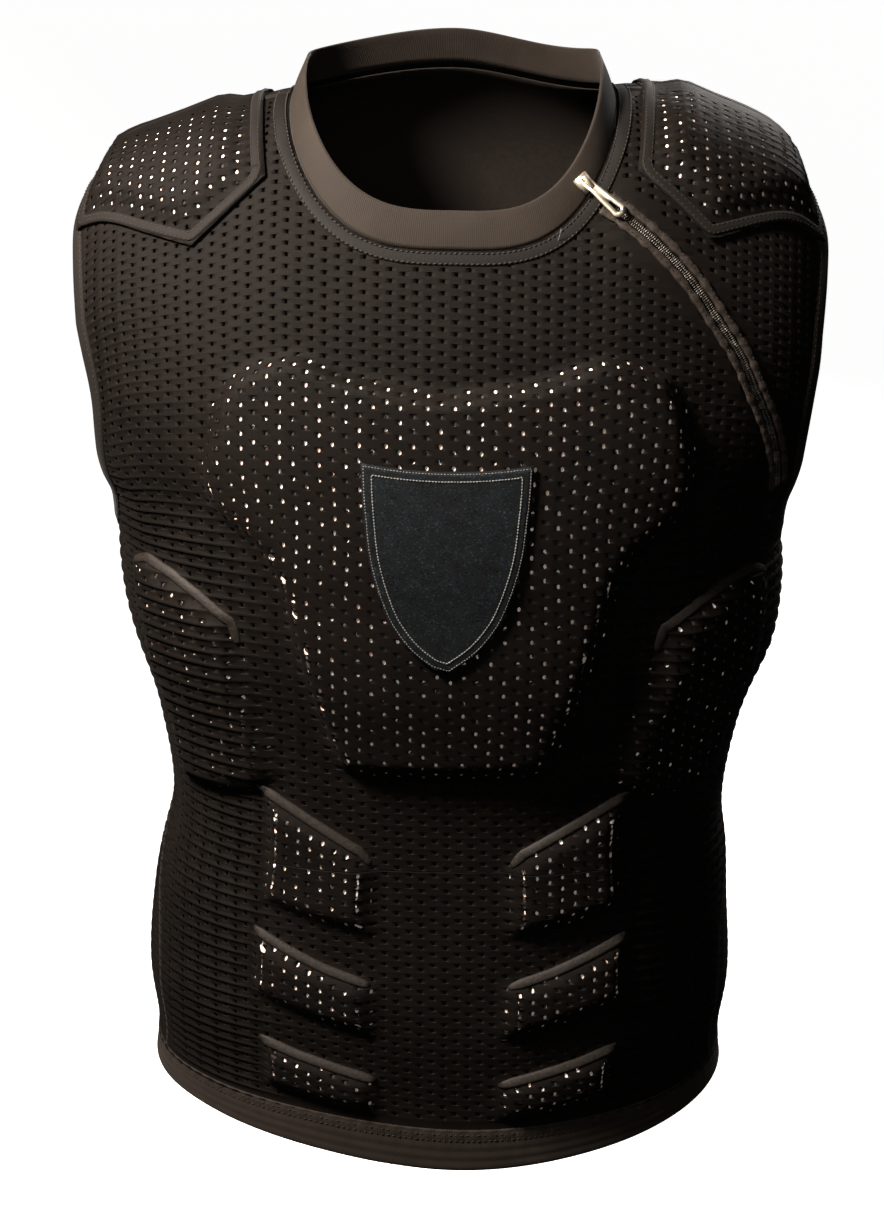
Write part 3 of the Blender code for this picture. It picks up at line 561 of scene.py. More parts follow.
def closedGrid(name, outer, inner, look, flat, more=()):
    # A closed piece between two grids of points, shape (rows, columns, 3), outer facing outward
    rows, columns = outer.shape[:2]
    points = np.concatenate([outer.reshape(-1, 3), inner.reshape(-1, 3)])
    under = rows * columns
    faces = [gridFaces(rows, columns), gridFaces(rows, columns, under, flip=True)]
    at = np.arange(under).reshape(rows, columns)
    rim = np.concatenate([at[0, :], at[1:, -1], at[-1, -2::-1], at[-2:0:-1, 0]])
    after = np.roll(rim, -1)
    faces.append(np.stack([after, rim, under + rim, under + after], -1))
    made = piece(name, points, faces, look, np.concatenate([flat.reshape(-1, 2)] * 2), more=more)
    faceOut(made)
    return made


def sweep(name, centres, ups, sides, profile, look, closed=True, swell=None):
    # A band along the centres: profile gives (along side, along up) for each corner of its section
    count = len(centres)
    ring = len(profile)
    size = (np.ones(count) if swell is None else swell)[:, None, None]
    section = sides[:, None] * profile[None, :, :1] + ups[:, None] * profile[None, :, 1:]
    across = centres[:, None] + section * size
    run = np.concatenate([[0], np.cumsum(np.linalg.norm(np.diff(centres, axis=0), axis=1))])
    about = np.concatenate([[0], np.cumsum(np.linalg.norm(np.diff(profile, axis=0), axis=1))])
    flat = np.stack(np.broadcast_arrays(run[:, None], about[None]), -1)
    faces = [gridFaces(count, ring, 0, wrapRows=closed, wrapColumns=True)]
    if not closed:
        faces += [np.arange(ring)[None, ::-1], (np.arange(ring) + (count - 1) * ring)[None]]
    made = piece(name, across.reshape(-1, 3), faces, look, flat.reshape(-1, 2))
    faceOut(made)
    return made


def faceOut(obj):
    work = bmesh.new()
    work.from_mesh(obj.data)
    bmesh.ops.recalc_face_normals(work, faces=work.faces)
    if work.calc_volume(signed=True) < 0:
        bmesh.ops.reverse_faces(work, faces=work.faces)
    work.to_mesh(obj.data)
    work.free()


# The perforated mesh

clothCells = {
    "columnPitch": 0.0071, "holeHalfWidth": 0.00086, "holeHalfHeight": 0.00150, "strip": 0.10,
    "edgeGap": 0.0012, "crest": (1.0, 0.22), "sag": -0.12, "lowHole": 0.29, "highHole": 0.71,
    # drop, row pitch
    "rowPitch": np.array(((0.00, 0.0066), (0.20, 0.0066), (0.27, 0.0080), (0.55, 0.0080), (0.65, 0.0072),
                          (1.0, 0.0066))),
}
zipWay = np.array((
    # across, drop
    (0.262, 0.081), (0.304, 0.097), (0.366, 0.119), (0.422, 0.141), (0.474, 0.168),
    (0.521, 0.193), (0.575, 0.229), (0.624, 0.258), (0.681, 0.299), (0.700, 0.313),
)) * (girth, length)
zipLane = 0.0058


def rowLevels(side):
    # Flat heights of the lines between the rows of holes, from the hem up, spaced as on the body
    y = np.linspace(hemLevel, 1e-4, 3000) * length
    places = body(side, 0.3 * girth, y)
    run = np.linalg.norm(np.diff(places, axis=0), axis=1)
    pitch = np.interp(y[1:] / length, *clothCells["rowPitch"].T)
    count = np.concatenate([[0], np.cumsum(run / pitch)])
    whole = int(count[-1])
    lines = np.arange(whole + 1 if count[-1] - whole > 0.2 else whole)
    return np.append(np.interp(lines, count, y), 0.0)


def ridgeHeightOf(side, places, over):
    # The knit's ridges stand up where the cloth is slack, on the flanks and between the pads
    across, drop = np.abs(places[:, 0]) / girth, places[:, 1] / length
    slack = smooth((across - 0.30) / 0.35) * smooth((drop - 0.30) / 0.10)
    slack = slack + 0.30 * smooth((across - 0.45) / 0.3)
    if side == back:
        slack = slack * 0.5 + 0.1
    calm = over * (1 - smooth((across - 0.42) / 0.08) * smooth((0.66 - drop) / 0.02))
    return (0.00010 + 0.00110 * np.clip(slack, 0, 1)) * (1 - 0.85 * calm)


def perforated(name, side, outline, extra=None, zipped=False, rows=slice(None), relief=True):
    # Cloth cut to the outline: one hexagonal hole a cell, high and low in turn from column to column
    levels = rowLevels(side)[rows]
    pitch = clothCells["columnPitch"]
    strip = clothCells["strip"]
    half = int(np.abs(outline[:, 0]).max() * 1.3 / pitch) + 1
    columns, count = 2 * half + 1, len(levels) - 1
    shares = np.array((0, strip, 0.5, 1 - strip))
    lines = np.concatenate([levels[r] + (levels[r + 1] - levels[r]) * shares
                            for r in range(count)] + [levels[-1:]])
    width = widthShare(side, lines / length)
    u = np.arange(-half, half + 1) * pitch
    grid = np.stack(np.broadcast_arrays(u[None] / width[:, None], lines[:, None]),
                    -1)  # line, column, place
    flatLevels = np.arange(count + 1)[::-1] * pitch
    flatRun = np.stack(np.broadcast_arrays(u[None], np.interp(lines, levels[::-1], flatLevels)[:, None]),
                       -1)
    crests = np.zeros(len(lines))
    crests[::4], crests[2::4] = clothCells["crest"]
    crest = np.broadcast_to(crests[:, None], grid.shape[:2])

    def settle(places):
        # Pulls what lies outside onto the edge, and says what was inside
        apart, nearest, inside = edgeDistance(places, outline)
        kept = np.where(inside[:, None], places, nearest)
        gap = np.where(inside, apart, -apart)
        if zipped:
            away, foot, _ = edgeDistance(kept, longWay, closed=False)
            inLane = away < zipLane
            push = (kept - foot) / np.maximum(away, 1e-9)[:, None]
            kept = np.where(inLane[:, None], foot + push * zipLane, kept)
            gap = np.minimum(gap, away - zipLane)
        return kept, gap

    if zipped:
        start = zipWay[0] + (zipWay[0] - zipWay[1]) * 0.8
        end = zipWay[-1] + (zipWay[-1] - zipWay[-2]) * 2.5
        longWay = np.concatenate([[start], zipWay, [end]])
    places, gap = settle(grid.reshape(-1, 2))
    gap = gap.reshape(grid.shape[:2])
    inner = gap[::4]
    around = [inner[:-1, :-1], inner[1:, :-1], inner[:-1, 1:], inner[1:, 1:]]
    kept = np.maximum.reduce(around) > 0
    whole = np.minimum.reduce(around) > clothCells["edgeGap"]
    r, c = np.nonzero(kept)
    holed = whole[r, c]

    def outerAt(k, dc):
        return (4 * r + k) * columns + c + dc

    high = (c % 2).astype(bool)
    faces = []
    for k in range(4):
        quad = np.stack([outerAt(k, 0), outerAt(k, 1), outerAt(k + 1, 1), outerAt(k + 1, 0)], -1)
        ringed = holed & (high if k == 2 else ~high if k == 1 else np.zeros(len(r), bool))
        faces.append(quad[~ringed])
    # Hole corners: bottom, then round to the right
    turn = np.radians(np.array((-90, -30, 30, 90, 150, 210)))
    hr, hc, hh = r[holed], c[holed], high[holed]
    low, top = levels[hr], levels[hr + 1]
    centre = np.where(hh, clothCells["highHole"], clothCells["lowHole"])
    y = low + (top - low) * centre
    realRow = np.interp(y / length, *clothCells["rowPitch"].T)
    reachAcross = np.cos(turn)[None] * clothCells["holeHalfWidth"] / math.cos(math.pi / 6)
    hx = (hc - half + 0.5)[:, None] * pitch + reachAcross
    halfHigh = (clothCells["holeHalfHeight"] / realRow)[:, None]
    hy = y[:, None] + (top - low)[:, None] * np.sin(turn)[None] * halfHigh
    holes = np.stack([hx / widthShare(side, hy / length), hy], -1).reshape(-1, 2)
    holeFlat = np.stack([hx, np.interp(hy, levels[::-1], flatLevels)], -1).reshape(-1, 2)
    outerCount = len(places)
    h = outerCount + np.arange(len(hr) * 6).reshape(-1, 6)
    a = np.where(hh, 2, 1)
    corner = [(4 * hr + a) * columns + hc, (4 * hr + a) * columns + hc + 1,
              (4 * hr + a + 1) * columns + hc + 1,
              (4 * hr + a + 1) * columns + hc]

    def ring(corners, hexagon):
        bl, br, tr, tl = corners
        h0, h1, h2, h3, h4, h5 = hexagon.T
        return [np.stack(f, -1)
                for f in ((bl, br, h0), (br, h1, h0), (br, tr, h2, h1), (tr, h3, h2), (tr, tl, h3),
                                          (tl, h4, h3), (tl, bl, h5, h4), (bl, h0, h5))]

    faces += ring(corner, h)
    innerStart = outerCount + len(holes)

    def innerAt(row, column):
        return innerStart + row * columns + column

    hi = innerStart + (count + 1) * columns + np.arange(len(hr) * 6).reshape(-1, 6)
    for k in range(6):
        n = (k + 1) % 6
        faces.append(np.stack([h[:, n], h[:, k], hi[:, k], hi[:, n]], -1)[:, ::-1])
    corner = [innerAt(hr, hc), innerAt(hr, hc + 1), innerAt(hr + 1, hc + 1), innerAt(hr + 1, hc)]
    faces += [f[:, ::-1] for f in ring(corner, hi)]
    pr, pc = r[~holed], c[~holed]
    faces.append(np.stack([innerAt(pr, pc), innerAt(pr + 1, pc), innerAt(pr + 1, pc + 1),
                           innerAt(pr, pc + 1)], -1))
    padded = np.zeros((count + 2, columns + 1), bool)
    padded[1:count + 1, 1:columns] = kept
    lost = {word: ~padded[r + 1 + dr, c + 1 + dc] for word, dr, dc in
            (("left", 0, -1), ("right", 0, 1), ("bottom", -1, 0), ("top", 1, 0))}
    for word, dc in (("left", 0), ("right", 1)):
        m = lost[word]
        chain = np.stack([outerAt(k, dc)[m] for k in range(5)] + [innerAt(r + 1, c + dc)[m],
                                                                  innerAt(r, c + dc)[m]], -1)
        faces.append(chain if word == "left" else chain[:, ::-1])
    for word, k, dr in (("bottom", 0, 0), ("top", 4, 1)):
        m = lost[word]
        chain = np.stack([outerAt(k, 1)[m], outerAt(k, 0)[m], innerAt(r + dr, c)[m],
                          innerAt(r + dr, c + 1)[m]], -1)
        faces.append(chain if word == "bottom" else chain[:, ::-1])
    if side == back:
        faces = [f[:, ::-1] for f in faces]
    every = np.concatenate([places, holes])
    over = raised(side, every)[1]
    lift = ridgeHeightOf(side, every,
                         over) * np.concatenate([crest.reshape(-1), np.full(len(holes), clothCells["sag"])])
    added = extra(every) if extra else 0
    lift = lift + added
    top3, normal = cloth(side, every, lift, relief)
    under = np.concatenate([places.reshape(len(lines), columns, 2)[::4].reshape(-1, 2), holes])
    index = np.concatenate([np.arange(outerCount).reshape(len(lines), columns)[::4].reshape(-1),
                            outerCount + np.arange(len(holes))])
    bottom3 = top3[index] - normal[index] * (clothWall + (lift - added)[index])[:, None]
    flat = np.concatenate([flatRun.reshape(-1, 2), holeFlat])
    made = piece(name, np.concatenate([top3, bottom3]), faces, "mesh", np.concatenate([flat, flat[index]]))
    print(name, "cells", len(r), "holes", len(hr), "triangles", triangles(made))
    return made


def triangles(obj):
    obj.data.calc_loop_triangles()
    return len(obj.data.loop_triangles)


# Each panel is made in two lengths that meet at a line between two rows, a little below the waist
meetingRow = 24
panels = {}
for side, word in bothSides:
    upper = perforated(word + "_cloth", side, panelOutline(side), zipped=side == front,
                       rows=slice(meetingRow, None))
    lower = perforated(word + "_cloth_low", side, panelOutline(side), rows=slice(0, meetingRow + 1))
    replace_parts(upper, word + "_panel")
    panels[side] = (upper, lower, rowLevels(side)[meetingRow])
print("cloth done")


def laid(sides, places, extra=0.0, relief=True):
    # Points and outward directions at places on either side of the vest
    sides, extra = np.broadcast_to(sides, len(places)), np.broadcast_to(extra, len(places))
    points, normals = np.zeros((len(places), 3)), np.zeros((len(places), 3))
    for side in (front, back):
        chosen = sides == side
        if chosen.any():
            points[chosen], normals[chosen] = cloth(side, places[chosen], extra[chosen], relief)
    return points, normals


def unit(vectors):
    return vectors / np.maximum(np.linalg.norm(vectors, axis=-1), 1e-12)[..., None]


def alongWay(points, closed=False):
    steps = np.roll(points, -1, 0) - np.roll(points, 1, 0) if closed else np.gradient(points, axis=0)
    return unit(steps)


def evenly(points, spacing, closed=False, *others):
    # Even stations along a way of points, with other columns read at the same stations
    if closed:
        points = np.concatenate([points, points[:1]])
        others = [np.concatenate([o, o[:1]]) for o in others]
    run = np.concatenate([[0], np.cumsum(np.linalg.norm(np.diff(points, axis=0), axis=1))])
    count = max(2, round(run[-1] / spacing))
    at = np.linspace(0, run[-1], count + 1)[:count if closed else count + 1]
    read = [np.stack([np.interp(at, run, column) for column in np.reshape(o, (len(run), -1)).T], -1)
            for o in (points, *others)]
    return read if others else read[0]


def strip(name, sides, places, profile, look, closed=False, extra=0.0, relief=True, swell=None):
    # A band laid along flat places. Its section is given across the band and outward
    points, normals = laid(sides, places, extra, relief)
    along = alongWay(points, closed)
    aside = unit(np.cross(normals, along))
    return sweep(name, points, normals, aside, profile, look, closed, swell)


def welt(width, height, sink=0.0005, bends=8, power=2.8):
    # The section of a flat raised band with rounded shoulders
    turn = np.linspace(math.pi, 0, bends + 1)
    across = np.sign(np.cos(turn)) * np.abs(np.cos(turn)) ** (2 / power) * width / 2
    rise = np.sin(turn).clip(0, 1) ** (2 / power) * height
    return np.concatenate([[(-width / 2, -sink)], np.stack([across, rise], -1), [(width / 2, -sink)]])


# Copies along a way: a Geometry Nodes tree sets one on each point, turned along it

def repeatTree():
    tree = bpy.data.node_groups.new("repeat along a way", "GeometryNodeTree")
    for word, kind in (("Geometry", "Geometry"), ("Copy", "Object"), ("Material", "Material"),
                       ("Size", "Float"),
                       ("Unevenness", "Float"), ("Seed", "Int")):
        tree.interface.new_socket(word, in_out="INPUT", socket_type="NodeSocket" + kind)
    tree.interface.new_socket("Geometry", in_out="OUTPUT", socket_type="NodeSocketGeometry")

    def node(kind, settings=None, values=None):
        made = tree.nodes.new(kind)
        for word, value in (settings or {}).items():
            setattr(made, word, value)
        for word, value in (values or {}).items():
            if isinstance(value, bpy.types.NodeSocket):
                tree.links.new(value, made.inputs[word])
            else:
                made.inputs[word].default_value = value
        return made

    start = node("NodeGroupInput").outputs
    ways = [node("GeometryNodeInputNamedAttribute", {"data_type": "FLOAT_VECTOR"},
                 {"Name": word}).outputs[0]
            for word in ("along", "outward")]
    turned = node("FunctionNodeAlignRotationToVector", {"axis": "X"}, {"Vector": ways[0]}).outputs[0]
    turned = node("FunctionNodeAlignRotationToVector", {"axis": "Z", "pivot_axis": "X"},
                  {"Rotation": turned, "Vector": ways[1]}).outputs[0]
    least = node("ShaderNodeMath", {"operation": "SUBTRACT"}, {0: 1.0, 1: start["Unevenness"]}).outputs[0]
    most = node("ShaderNodeMath", {"operation": "ADD"}, {0: 1.0, 1: start["Unevenness"]}).outputs[0]
    vary = node("FunctionNodeRandomValue", {"data_type": "FLOAT"},
                {2: least, 3: most, "Seed": start["Seed"]}).outputs[1]
    size = node("ShaderNodeMath", {"operation": "MULTIPLY"}, {0: vary, 1: start["Size"]}).outputs[0]
    source = node("GeometryNodeObjectInfo", None, {"Object": start["Copy"]}).outputs["Geometry"]
    copies = node("GeometryNodeInstanceOnPoints", None, {"Points": start["Geometry"], "Instance": source,
                                                         "Rotation": turned, "Scale": size}).outputs[0]
    real = node("GeometryNodeRealizeInstances", None, {"Geometry": copies}).outputs[0]
    dressed = node("GeometryNodeSetMaterial", None,
                   {"Geometry": real, "Material": start["Material"]}).outputs[0]
    node("NodeGroupOutput", None, {"Geometry": dressed})
    return tree


repeating = repeatTree()


def bead(long, wide, high, stations=5, sides=6):
    # A stitch or tooth: a small capsule along x whose ends dip down
    t = np.linspace(-1, 1, stations)
    girths = np.sqrt(np.maximum(1 - np.abs(t) ** 2.6, 0.10))
    turn = np.linspace(0, math.tau, sides, endpoint=False)
    aside = girths[:, None] * np.cos(turn)[None] * wide / 2
    up = girths[:, None] * np.sin(turn)[None] * high / 2 - (t[:, None] ** 2) * high * 0.55 + high * 0.12
    points = np.stack(np.broadcast_arrays(t[:, None] * long / 2, aside, up), -1).reshape(-1, 3)
    faces = [gridFaces(stations, sides, 0, wrapColumns=True), np.arange(sides)[None, ::-1],
             (np.arange(sides) + (stations - 1) * sides)[None]]
    return points, faces


def repeat(name, points, along, outward, copy, look, uneven=0.10, seed=3):
    mesh = bpy.data.meshes.new(name)
    mesh.vertices.add(len(points))
    mesh.vertices.foreach_set("co", np.ascontiguousarray(points, np.float32).reshape(-1))
    for word, values in (("along", along), ("outward", outward)):
        mesh.attributes.new(word, "FLOAT_VECTOR", "POINT").data.foreach_set(
            "vector", np.ascontiguousarray(values, np.float32).reshape(-1))
    obj = bpy.data.objects.new(name, mesh)
    bpy.context.scene.collection.objects.link(obj)
    source = piece(name + "_one", *copy, look, rideOn=None)
    faceOut(source)
    modifier = obj.modifiers.new("repeat", "NODES")
    modifier.node_group = repeating
    values = {"Copy": source, "Material": looks[look], "Size": 1.0, "Unevenness": uneven, "Seed": seed}
    for socket in repeating.interface.items_tree:
        if socket.in_out == "INPUT" and socket.name in values:
            modifier[socket.identifier] = values[socket.name]
    bpy.context.view_layer.update()
    made = bpy.data.meshes.new_from_object(obj.evaluated_get(bpy.context.evaluated_depsgraph_get()))
    obj.modifiers.clear()
    obj.data = made
    bpy.data.meshes.remove(mesh)
    bpy.data.objects.remove(source)
    obj.name = name
    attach(obj, "vest")
    return obj


stitchRun = 0.0030
stitchSize = (0.0022, 0.0006, 0.0006)


def stitches(name, sides, places, look="thread", closed=False, extra=0.0, relief=True, spacing=stitchRun,
             size=(0.0023, 0.0006, 0.0006), seed=3):
    # A row of stitches along flat places
    points, normals = laid(sides, places, extra, relief)
    points, normals = evenly(points, spacing, closed, normals)
    return repeat(name, points, alongWay(points, closed), unit(normals), bead(*size), look, seed=seed)


# Foam pads under the mesh

foamPads = {"inset": 0.0030, "skin": 0.00012, "foot": -0.0030, "grid": 0.0045}


def placesOf(rows, hand, inset):
    # A grid of flat places inside a pad's outline
    across, top, bottom = np.array(rows).T
    a = np.linspace(across[0] + inset / girth, across[-1] - inset / girth,
                    2 * round((across[-1] - across[0]) * girth / foamPads["grid"] / 2) + 1)
    top = np.interp(a, across, top) * length + inset
    bottom = np.interp(a, across, bottom) * length - inset
    middle = (top + bottom) / 2
    top, bottom = np.minimum(top, middle - 0.001), np.maximum(bottom, middle + 0.001)
    t = np.linspace(0, 1, round((bottom - top).max() / foamPads["grid"]) + 2)[:, None]
    return np.stack([np.broadcast_to(a * girth * hand, (len(t), len(a))), bottom + (top - bottom) * t], -1)


def foamPad(name, side, rows, hand=1, look="foam"):
    places = placesOf(rows, hand, foamPads["inset"])
    flat = places.reshape(-1, 2)
    outer = cloth(side, flat, -(clothWall + foamPads["skin"]))[0].reshape(*places.shape[:2], 3)
    inner = cloth(side, flat, foamPads["foot"], relief=False)[0].reshape(*places.shape[:2], 3)
    obj = closedGrid(name, outer, inner, look, places, more=("backing",))
    behind = np.zeros(len(obj.data.polygons), np.int32)
    behind[(places.shape[0] - 1) * (places.shape[1] - 1):] = 1
    obj.data.polygons.foreach_set("material_index", behind)
    return obj


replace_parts(foamPad("chest_foam", front, bothHalves(padOutlines["chest"])), "chest_pad")
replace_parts(foamPad("spine_foam", back, bothHalves(padOutlines["spine"])), "spine_pad")
for hand, word in bothHands:
    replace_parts(foamPad("flank_foam_" + word, front, padOutlines["flank"], hand, "sparsefoam"),
                "flank_pad_" + word)
    for level in ("Top", "Middle", "Bottom"):
        where = f"{level.lower()}_{word}"
        pad = foamPad("belly_foam_" + where, front, padOutlines["belly" + level], hand)
        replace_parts(pad, "belly_pad_" + where)
print("foam done")


# Stiff bars along the pads' top edges, which show as smooth ridges under the mesh. Their colour, lighter
# than the mesh, is a painted highlight where the raised edges catch the light

padBars = {"width": 0.0060, "height": 0.0016, "inset": 0.0048, "trim": 0.10}


def padBar(name, rows, hand):
    across, top, _ = np.array(rows).T
    way = evenly(np.stack([across * girth, top * length + padBars["inset"]], -1), 0.003)
    way = way[round(len(way) * padBars["trim"] / 2):]
    ends = np.minimum(np.arange(len(way)), np.arange(len(way))[::-1]) / 3.0
    made = strip(name, front, way * (hand, 1), welt(padBars["width"], padBars["height"], 0.0004), "padEdgeHighlight",
                    swell=0.35 + 0.65 * np.sqrt(np.clip(ends, 0, 1)))


for hand, word in bothHands:
    padBar("flank_bar_" + word, padOutlines["flank"][2:], hand)
    for level in ("Top", "Middle", "Bottom"):
        padBar(f"belly_bar_{level.lower()}_{word}", padOutlines["belly" + level], hand)


# Dark sheets inside, painted shade: they stand in for the shade within the vest, make the holes dark and
# close the view through the neck

def panelPlaces(side, columns, low, high):
    share = np.linspace(-1, 1, columns)
    rows = [np.stack([share * girth, np.full(columns, drop * length)], -1)
            for drop in np.linspace(hemLevel, armholeLevel, low, endpoint=False)]
    limit = np.ones(columns)
    inside = np.abs(share) < neckShare
    power = bodySize["neckPower"]
    across = np.abs(share[inside]) / neckShare
    limit[inside] = 1 - (1 - bodySize["neckClimb"][side]) * (1 - across ** power) ** (1 / power)
    for climb in np.linspace(0, 1, high) ** 1.4:
        c = climb * limit
        rows.append(np.stack([onPanel(share, c) * girth,
                              np.minimum(dropAt(side, c), armholeLevel - 1e-9) * length], -1))
    return np.array(rows)


shadeSheets = {"depth": 0.0033, "wall": 0.0005, "pieces": []}
for side, word in bothSides:
    places = panelPlaces(side, 61, 34, 26)
    flat = places.reshape(-1, 2)
    depths = (shadeSheets["depth"], shadeSheets["depth"] + shadeSheets["wall"])
    outer, inner = (cloth(side, flat, -depth, relief=False)[0].reshape(*places.shape[:2], 3)
                    for depth in depths)
    shadeSheetAndTape = closedGrid(word + "_lining", outer, inner, "shadeSheetAndTape", places)
    shadeSheets["pieces"].append((shadeSheetAndTape, side))


# Collar

collar = {"height": 0.0215, "wall": 0.0018, "lean": math.radians(22), "centreY": -0.008, "gap": 0.0003,
          "bulge": 0.0005, "stations": 121}
neckSeam = {"at": 0.0042, "width": 0.0078, "height": 0.0009, "rows": (("high", 0.0016), ("low", 0.0068))}
looseEnd = {"at": 0.0045, "across": 0.047, "reach": (0.0012, 0.0060), "away": 0.0016, "thick": 0.00028}


def neckWay(count, offset=0.0):
    # Round the neck: the front from the wearer's right to left, then the back, moved off the edge by offset
    shares = neckShare * np.sin(np.linspace(-math.pi / 2, math.pi / 2, count))
    sides, places = [], []
    for side, turned in ((front, 1), (back, -1)):
        edge = neckEdge(side, shares)
        step = np.gradient(edge, axis=0)
        away = unit(np.stack([-step[:, 1], step[:, 0]], -1))
        away[0], away[-1] = (-1, 0), (1, 0)
        moved = (edge + away * offset)[::turned]
        moved = moved if side == front else moved[1:-1]
        places.append(moved)
        sides.append(np.full(len(moved), side))
    return np.concatenate(sides), np.maximum(np.concatenate(places), (-9, 1e-6))


def collarFrames(count):
    sides, places = neckWay(count)
    seam = np.concatenate([body(side, *places[sides == side].T) for side in (front, back)])
    inward = np.array((0, collar["centreY"], 0)) - seam
    inward[:, 2] = 0
    inward = unit(inward)
    return seam, inward, inward * math.sin(collar["lean"]) + np.array((0, 0, math.cos(collar["lean"])))


def collarSection():
    high, wall = collar["height"], collar["wall"]
    face = np.linspace(0, 1, 9)
    outer = np.stack([np.sin(face * math.pi) * collar["bulge"], face * (high - wall / 2)], -1)
    turn = np.linspace(0, math.pi, 7)[1:-1]
    fold = np.stack([-wall / 2 + np.cos(turn) * wall / 2, high - wall / 2 + np.sin(turn) * wall / 2], -1)
    inner = np.stack([np.full(7, -wall), np.linspace(high - wall / 2, 0, 7)], -1)
    return np.concatenate([outer, fold, inner]) + (0, collar["gap"])


seam, inward, rise = collarFrames(collar["stations"])
collarBand = sweep("collar", seam, rise, -inward, collarSection(), "knit")
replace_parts(collarBand, "collar_band")
sides, places = neckWay(collar["stations"], neckSeam["at"])
neckTape = strip("neck_seam", sides, places, welt(neckSeam["width"], neckSeam["height"]), "seam",
                 closed=True)
for word, offset in neckSeam["rows"]:
    stitches("neck_stitches_" + word, *neckWay(collar["stations"], offset), closed=True,
             extra=neckSeam["height"], spacing=0.0029,
             size=(0.0025, 0.0010, 0.0010), seed=5)
threadRun = np.linspace(0, 1, 6)
threadEnd = evenly(np.stack([threadRun * looseEnd["reach"][0], np.zeros(6),
                             threadRun * looseEnd["reach"][1]], -1), 0.0012)
sides, places = neckWay(collar["stations"], looseEnd["at"])
foot, out = laid(sides, places, 0.0010)
near = np.argmin(np.abs(places[:, 0] - looseEnd["across"]) + (sides == back))
threadEnd = foot[near] + threadEnd + out[near] * np.linspace(0, looseEnd["away"], len(threadEnd))[:, None]
turn = np.linspace(0, math.tau, 6, endpoint=False)
aside = np.broadcast_to((1.0, 0.0, 0.0), threadEnd.shape)
threadSection = np.stack([np.cos(turn), np.sin(turn)], -1) * looseEnd["thick"]
sweep("loose_thread", threadEnd, np.broadcast_to(out[near], threadEnd.shape), aside, threadSection,
      "palethread", closed=False)
print("collar done")


# Hem band

hem = {"height": 0.026, "wall": 0.0020, "overlap": 0.0016, "ribs": 4, "ribHeight": 0.00035,
       "pucker": 0.0004, "puckerRun": 0.0105, "puckerReach": 0.005,
       "rows": (("high", 0.0242), ("low", 0.0205))}


def hemPlaces(count):
    x = np.linspace(-girth, girth, count)
    return (np.concatenate([np.full(count, front), np.full(count - 2, back)]),
            np.concatenate([x, x[-2:0:-1]]))


def hemSection():
    # Height above the hem's foot and how proud: the face with its ribs, then the fold and the inner face
    face = np.linspace(hem["height"] + hem["overlap"], 0.0012, 22)
    ribs = np.abs(np.sin(np.clip(face / hem["height"], 0, 1) * math.pi * hem["ribs"])) * hem["ribHeight"]
    outer = np.stack([face, 0.0004 + ribs], -1)
    outer = np.concatenate([[(face[0], -0.0004)], outer])
    fold = [(0.0004, 0.0), (0.0, -hem["wall"] * 0.35), (0.0001, -hem["wall"] * 0.75),
            (0.0010, -hem["wall"])]
    inner = [(0.010, -hem["wall"]), (hem["height"], -hem["wall"]),
             (hem["height"] + hem["overlap"], -hem["wall"])]
    return np.concatenate([outer, fold, inner])


sides, xs = hemPlaces(301)
section = hemSection()
run = np.arange(len(xs)) * 4 * girth / len(xs)
points = np.zeros((len(xs), len(section), 3))
for k, (high, proud) in enumerate(section):
    fade = math.exp(-abs(high - hem["height"]) / hem["puckerReach"])
    ripple = hem["pucker"] * np.sin(run * math.tau / hem["puckerRun"]) * fade
    for side in (front, back):
        chosen = sides == side
        points[chosen, k] = body(side, xs[chosen], length - high, proud + ripple[chosen] * (proud > 0))
flat = np.stack(np.broadcast_arrays(run[:, None], section[None, :, 0]), -1)
hemBand = piece("hem", points.reshape(-1, 3),
                [gridFaces(len(xs), len(section), 0, wrapRows=True, wrapColumns=True)], "knit",
                flat.reshape(-1, 2))
faceOut(hemBand)
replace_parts(hemBand, "hem_band")
for word, high in hem["rows"]:
    stitches("hem_stitches_" + word, sides, np.stack([xs, np.full(len(xs), length - high)], -1),
             closed=True,
             extra=0.0007, relief=False, spacing=0.0034, seed=8)


# Armhole bindings

binding = {"over": 0.0045, "beyond": 0.0034, "thick": 0.0030, "stitchesUp": 0.0012, "stitchesIn": 0.0027}


def armholeWay(hand, count):
    # Up the front edge of the armhole and down the back
    sides = np.concatenate([np.full(count, front), np.full(count - 2, back)])
    return sides, np.concatenate([armholePlaces(front, hand, count),
                                  armholePlaces(back, hand, count)[-2:0:-1]])


def bindingSection():
    # A fold of tape round the edge, from on the cloth to beyond its edge
    turn = np.linspace(-math.pi / 2, math.pi / 2, 7)
    half = binding["thick"] / 2
    nose = np.stack([binding["beyond"] - half + np.cos(turn) * half, np.sin(turn) * half], -1)
    top = [(-binding["over"] * 0.3, half * 0.94), (-binding["over"] * 0.8, half * 0.80),
           (-binding["over"], half * 0.45)]
    return np.concatenate([nose, top, [(-binding["over"], -half * 0.7), (-binding["over"] * 0.4, -half)]])


for hand, word in bothHands:
    sides, places = armholeWay(hand, 60)
    points, normals = laid(sides, places, -clothWall / 2)
    along = alongWay(points, True)
    away = unit(np.cross(along, normals))
    beyond = laid(sides, places + (hand * 1e-3, 0))[0] - laid(sides, places)[0]
    away *= np.where(((beyond / 1e-3 + (0, 0, 0.5)) * away).sum(1) < 0, -1, 1)[:, None]
    made = sweep("binding_" + word, points, normals, away, bindingSection(), "binding")
    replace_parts(made, "armhole_binding_" + word)
    row, normal = evenly(points + normals * binding["stitchesUp"] - away * binding["stitchesIn"], stitchRun,
                         True,
                         normals)
    repeat("binding_stitches_" + word, row, alongWay(row, True), unit(normal), bead(*stitchSize), "thread")
print("bands done")


# Shoulder covers over their pads

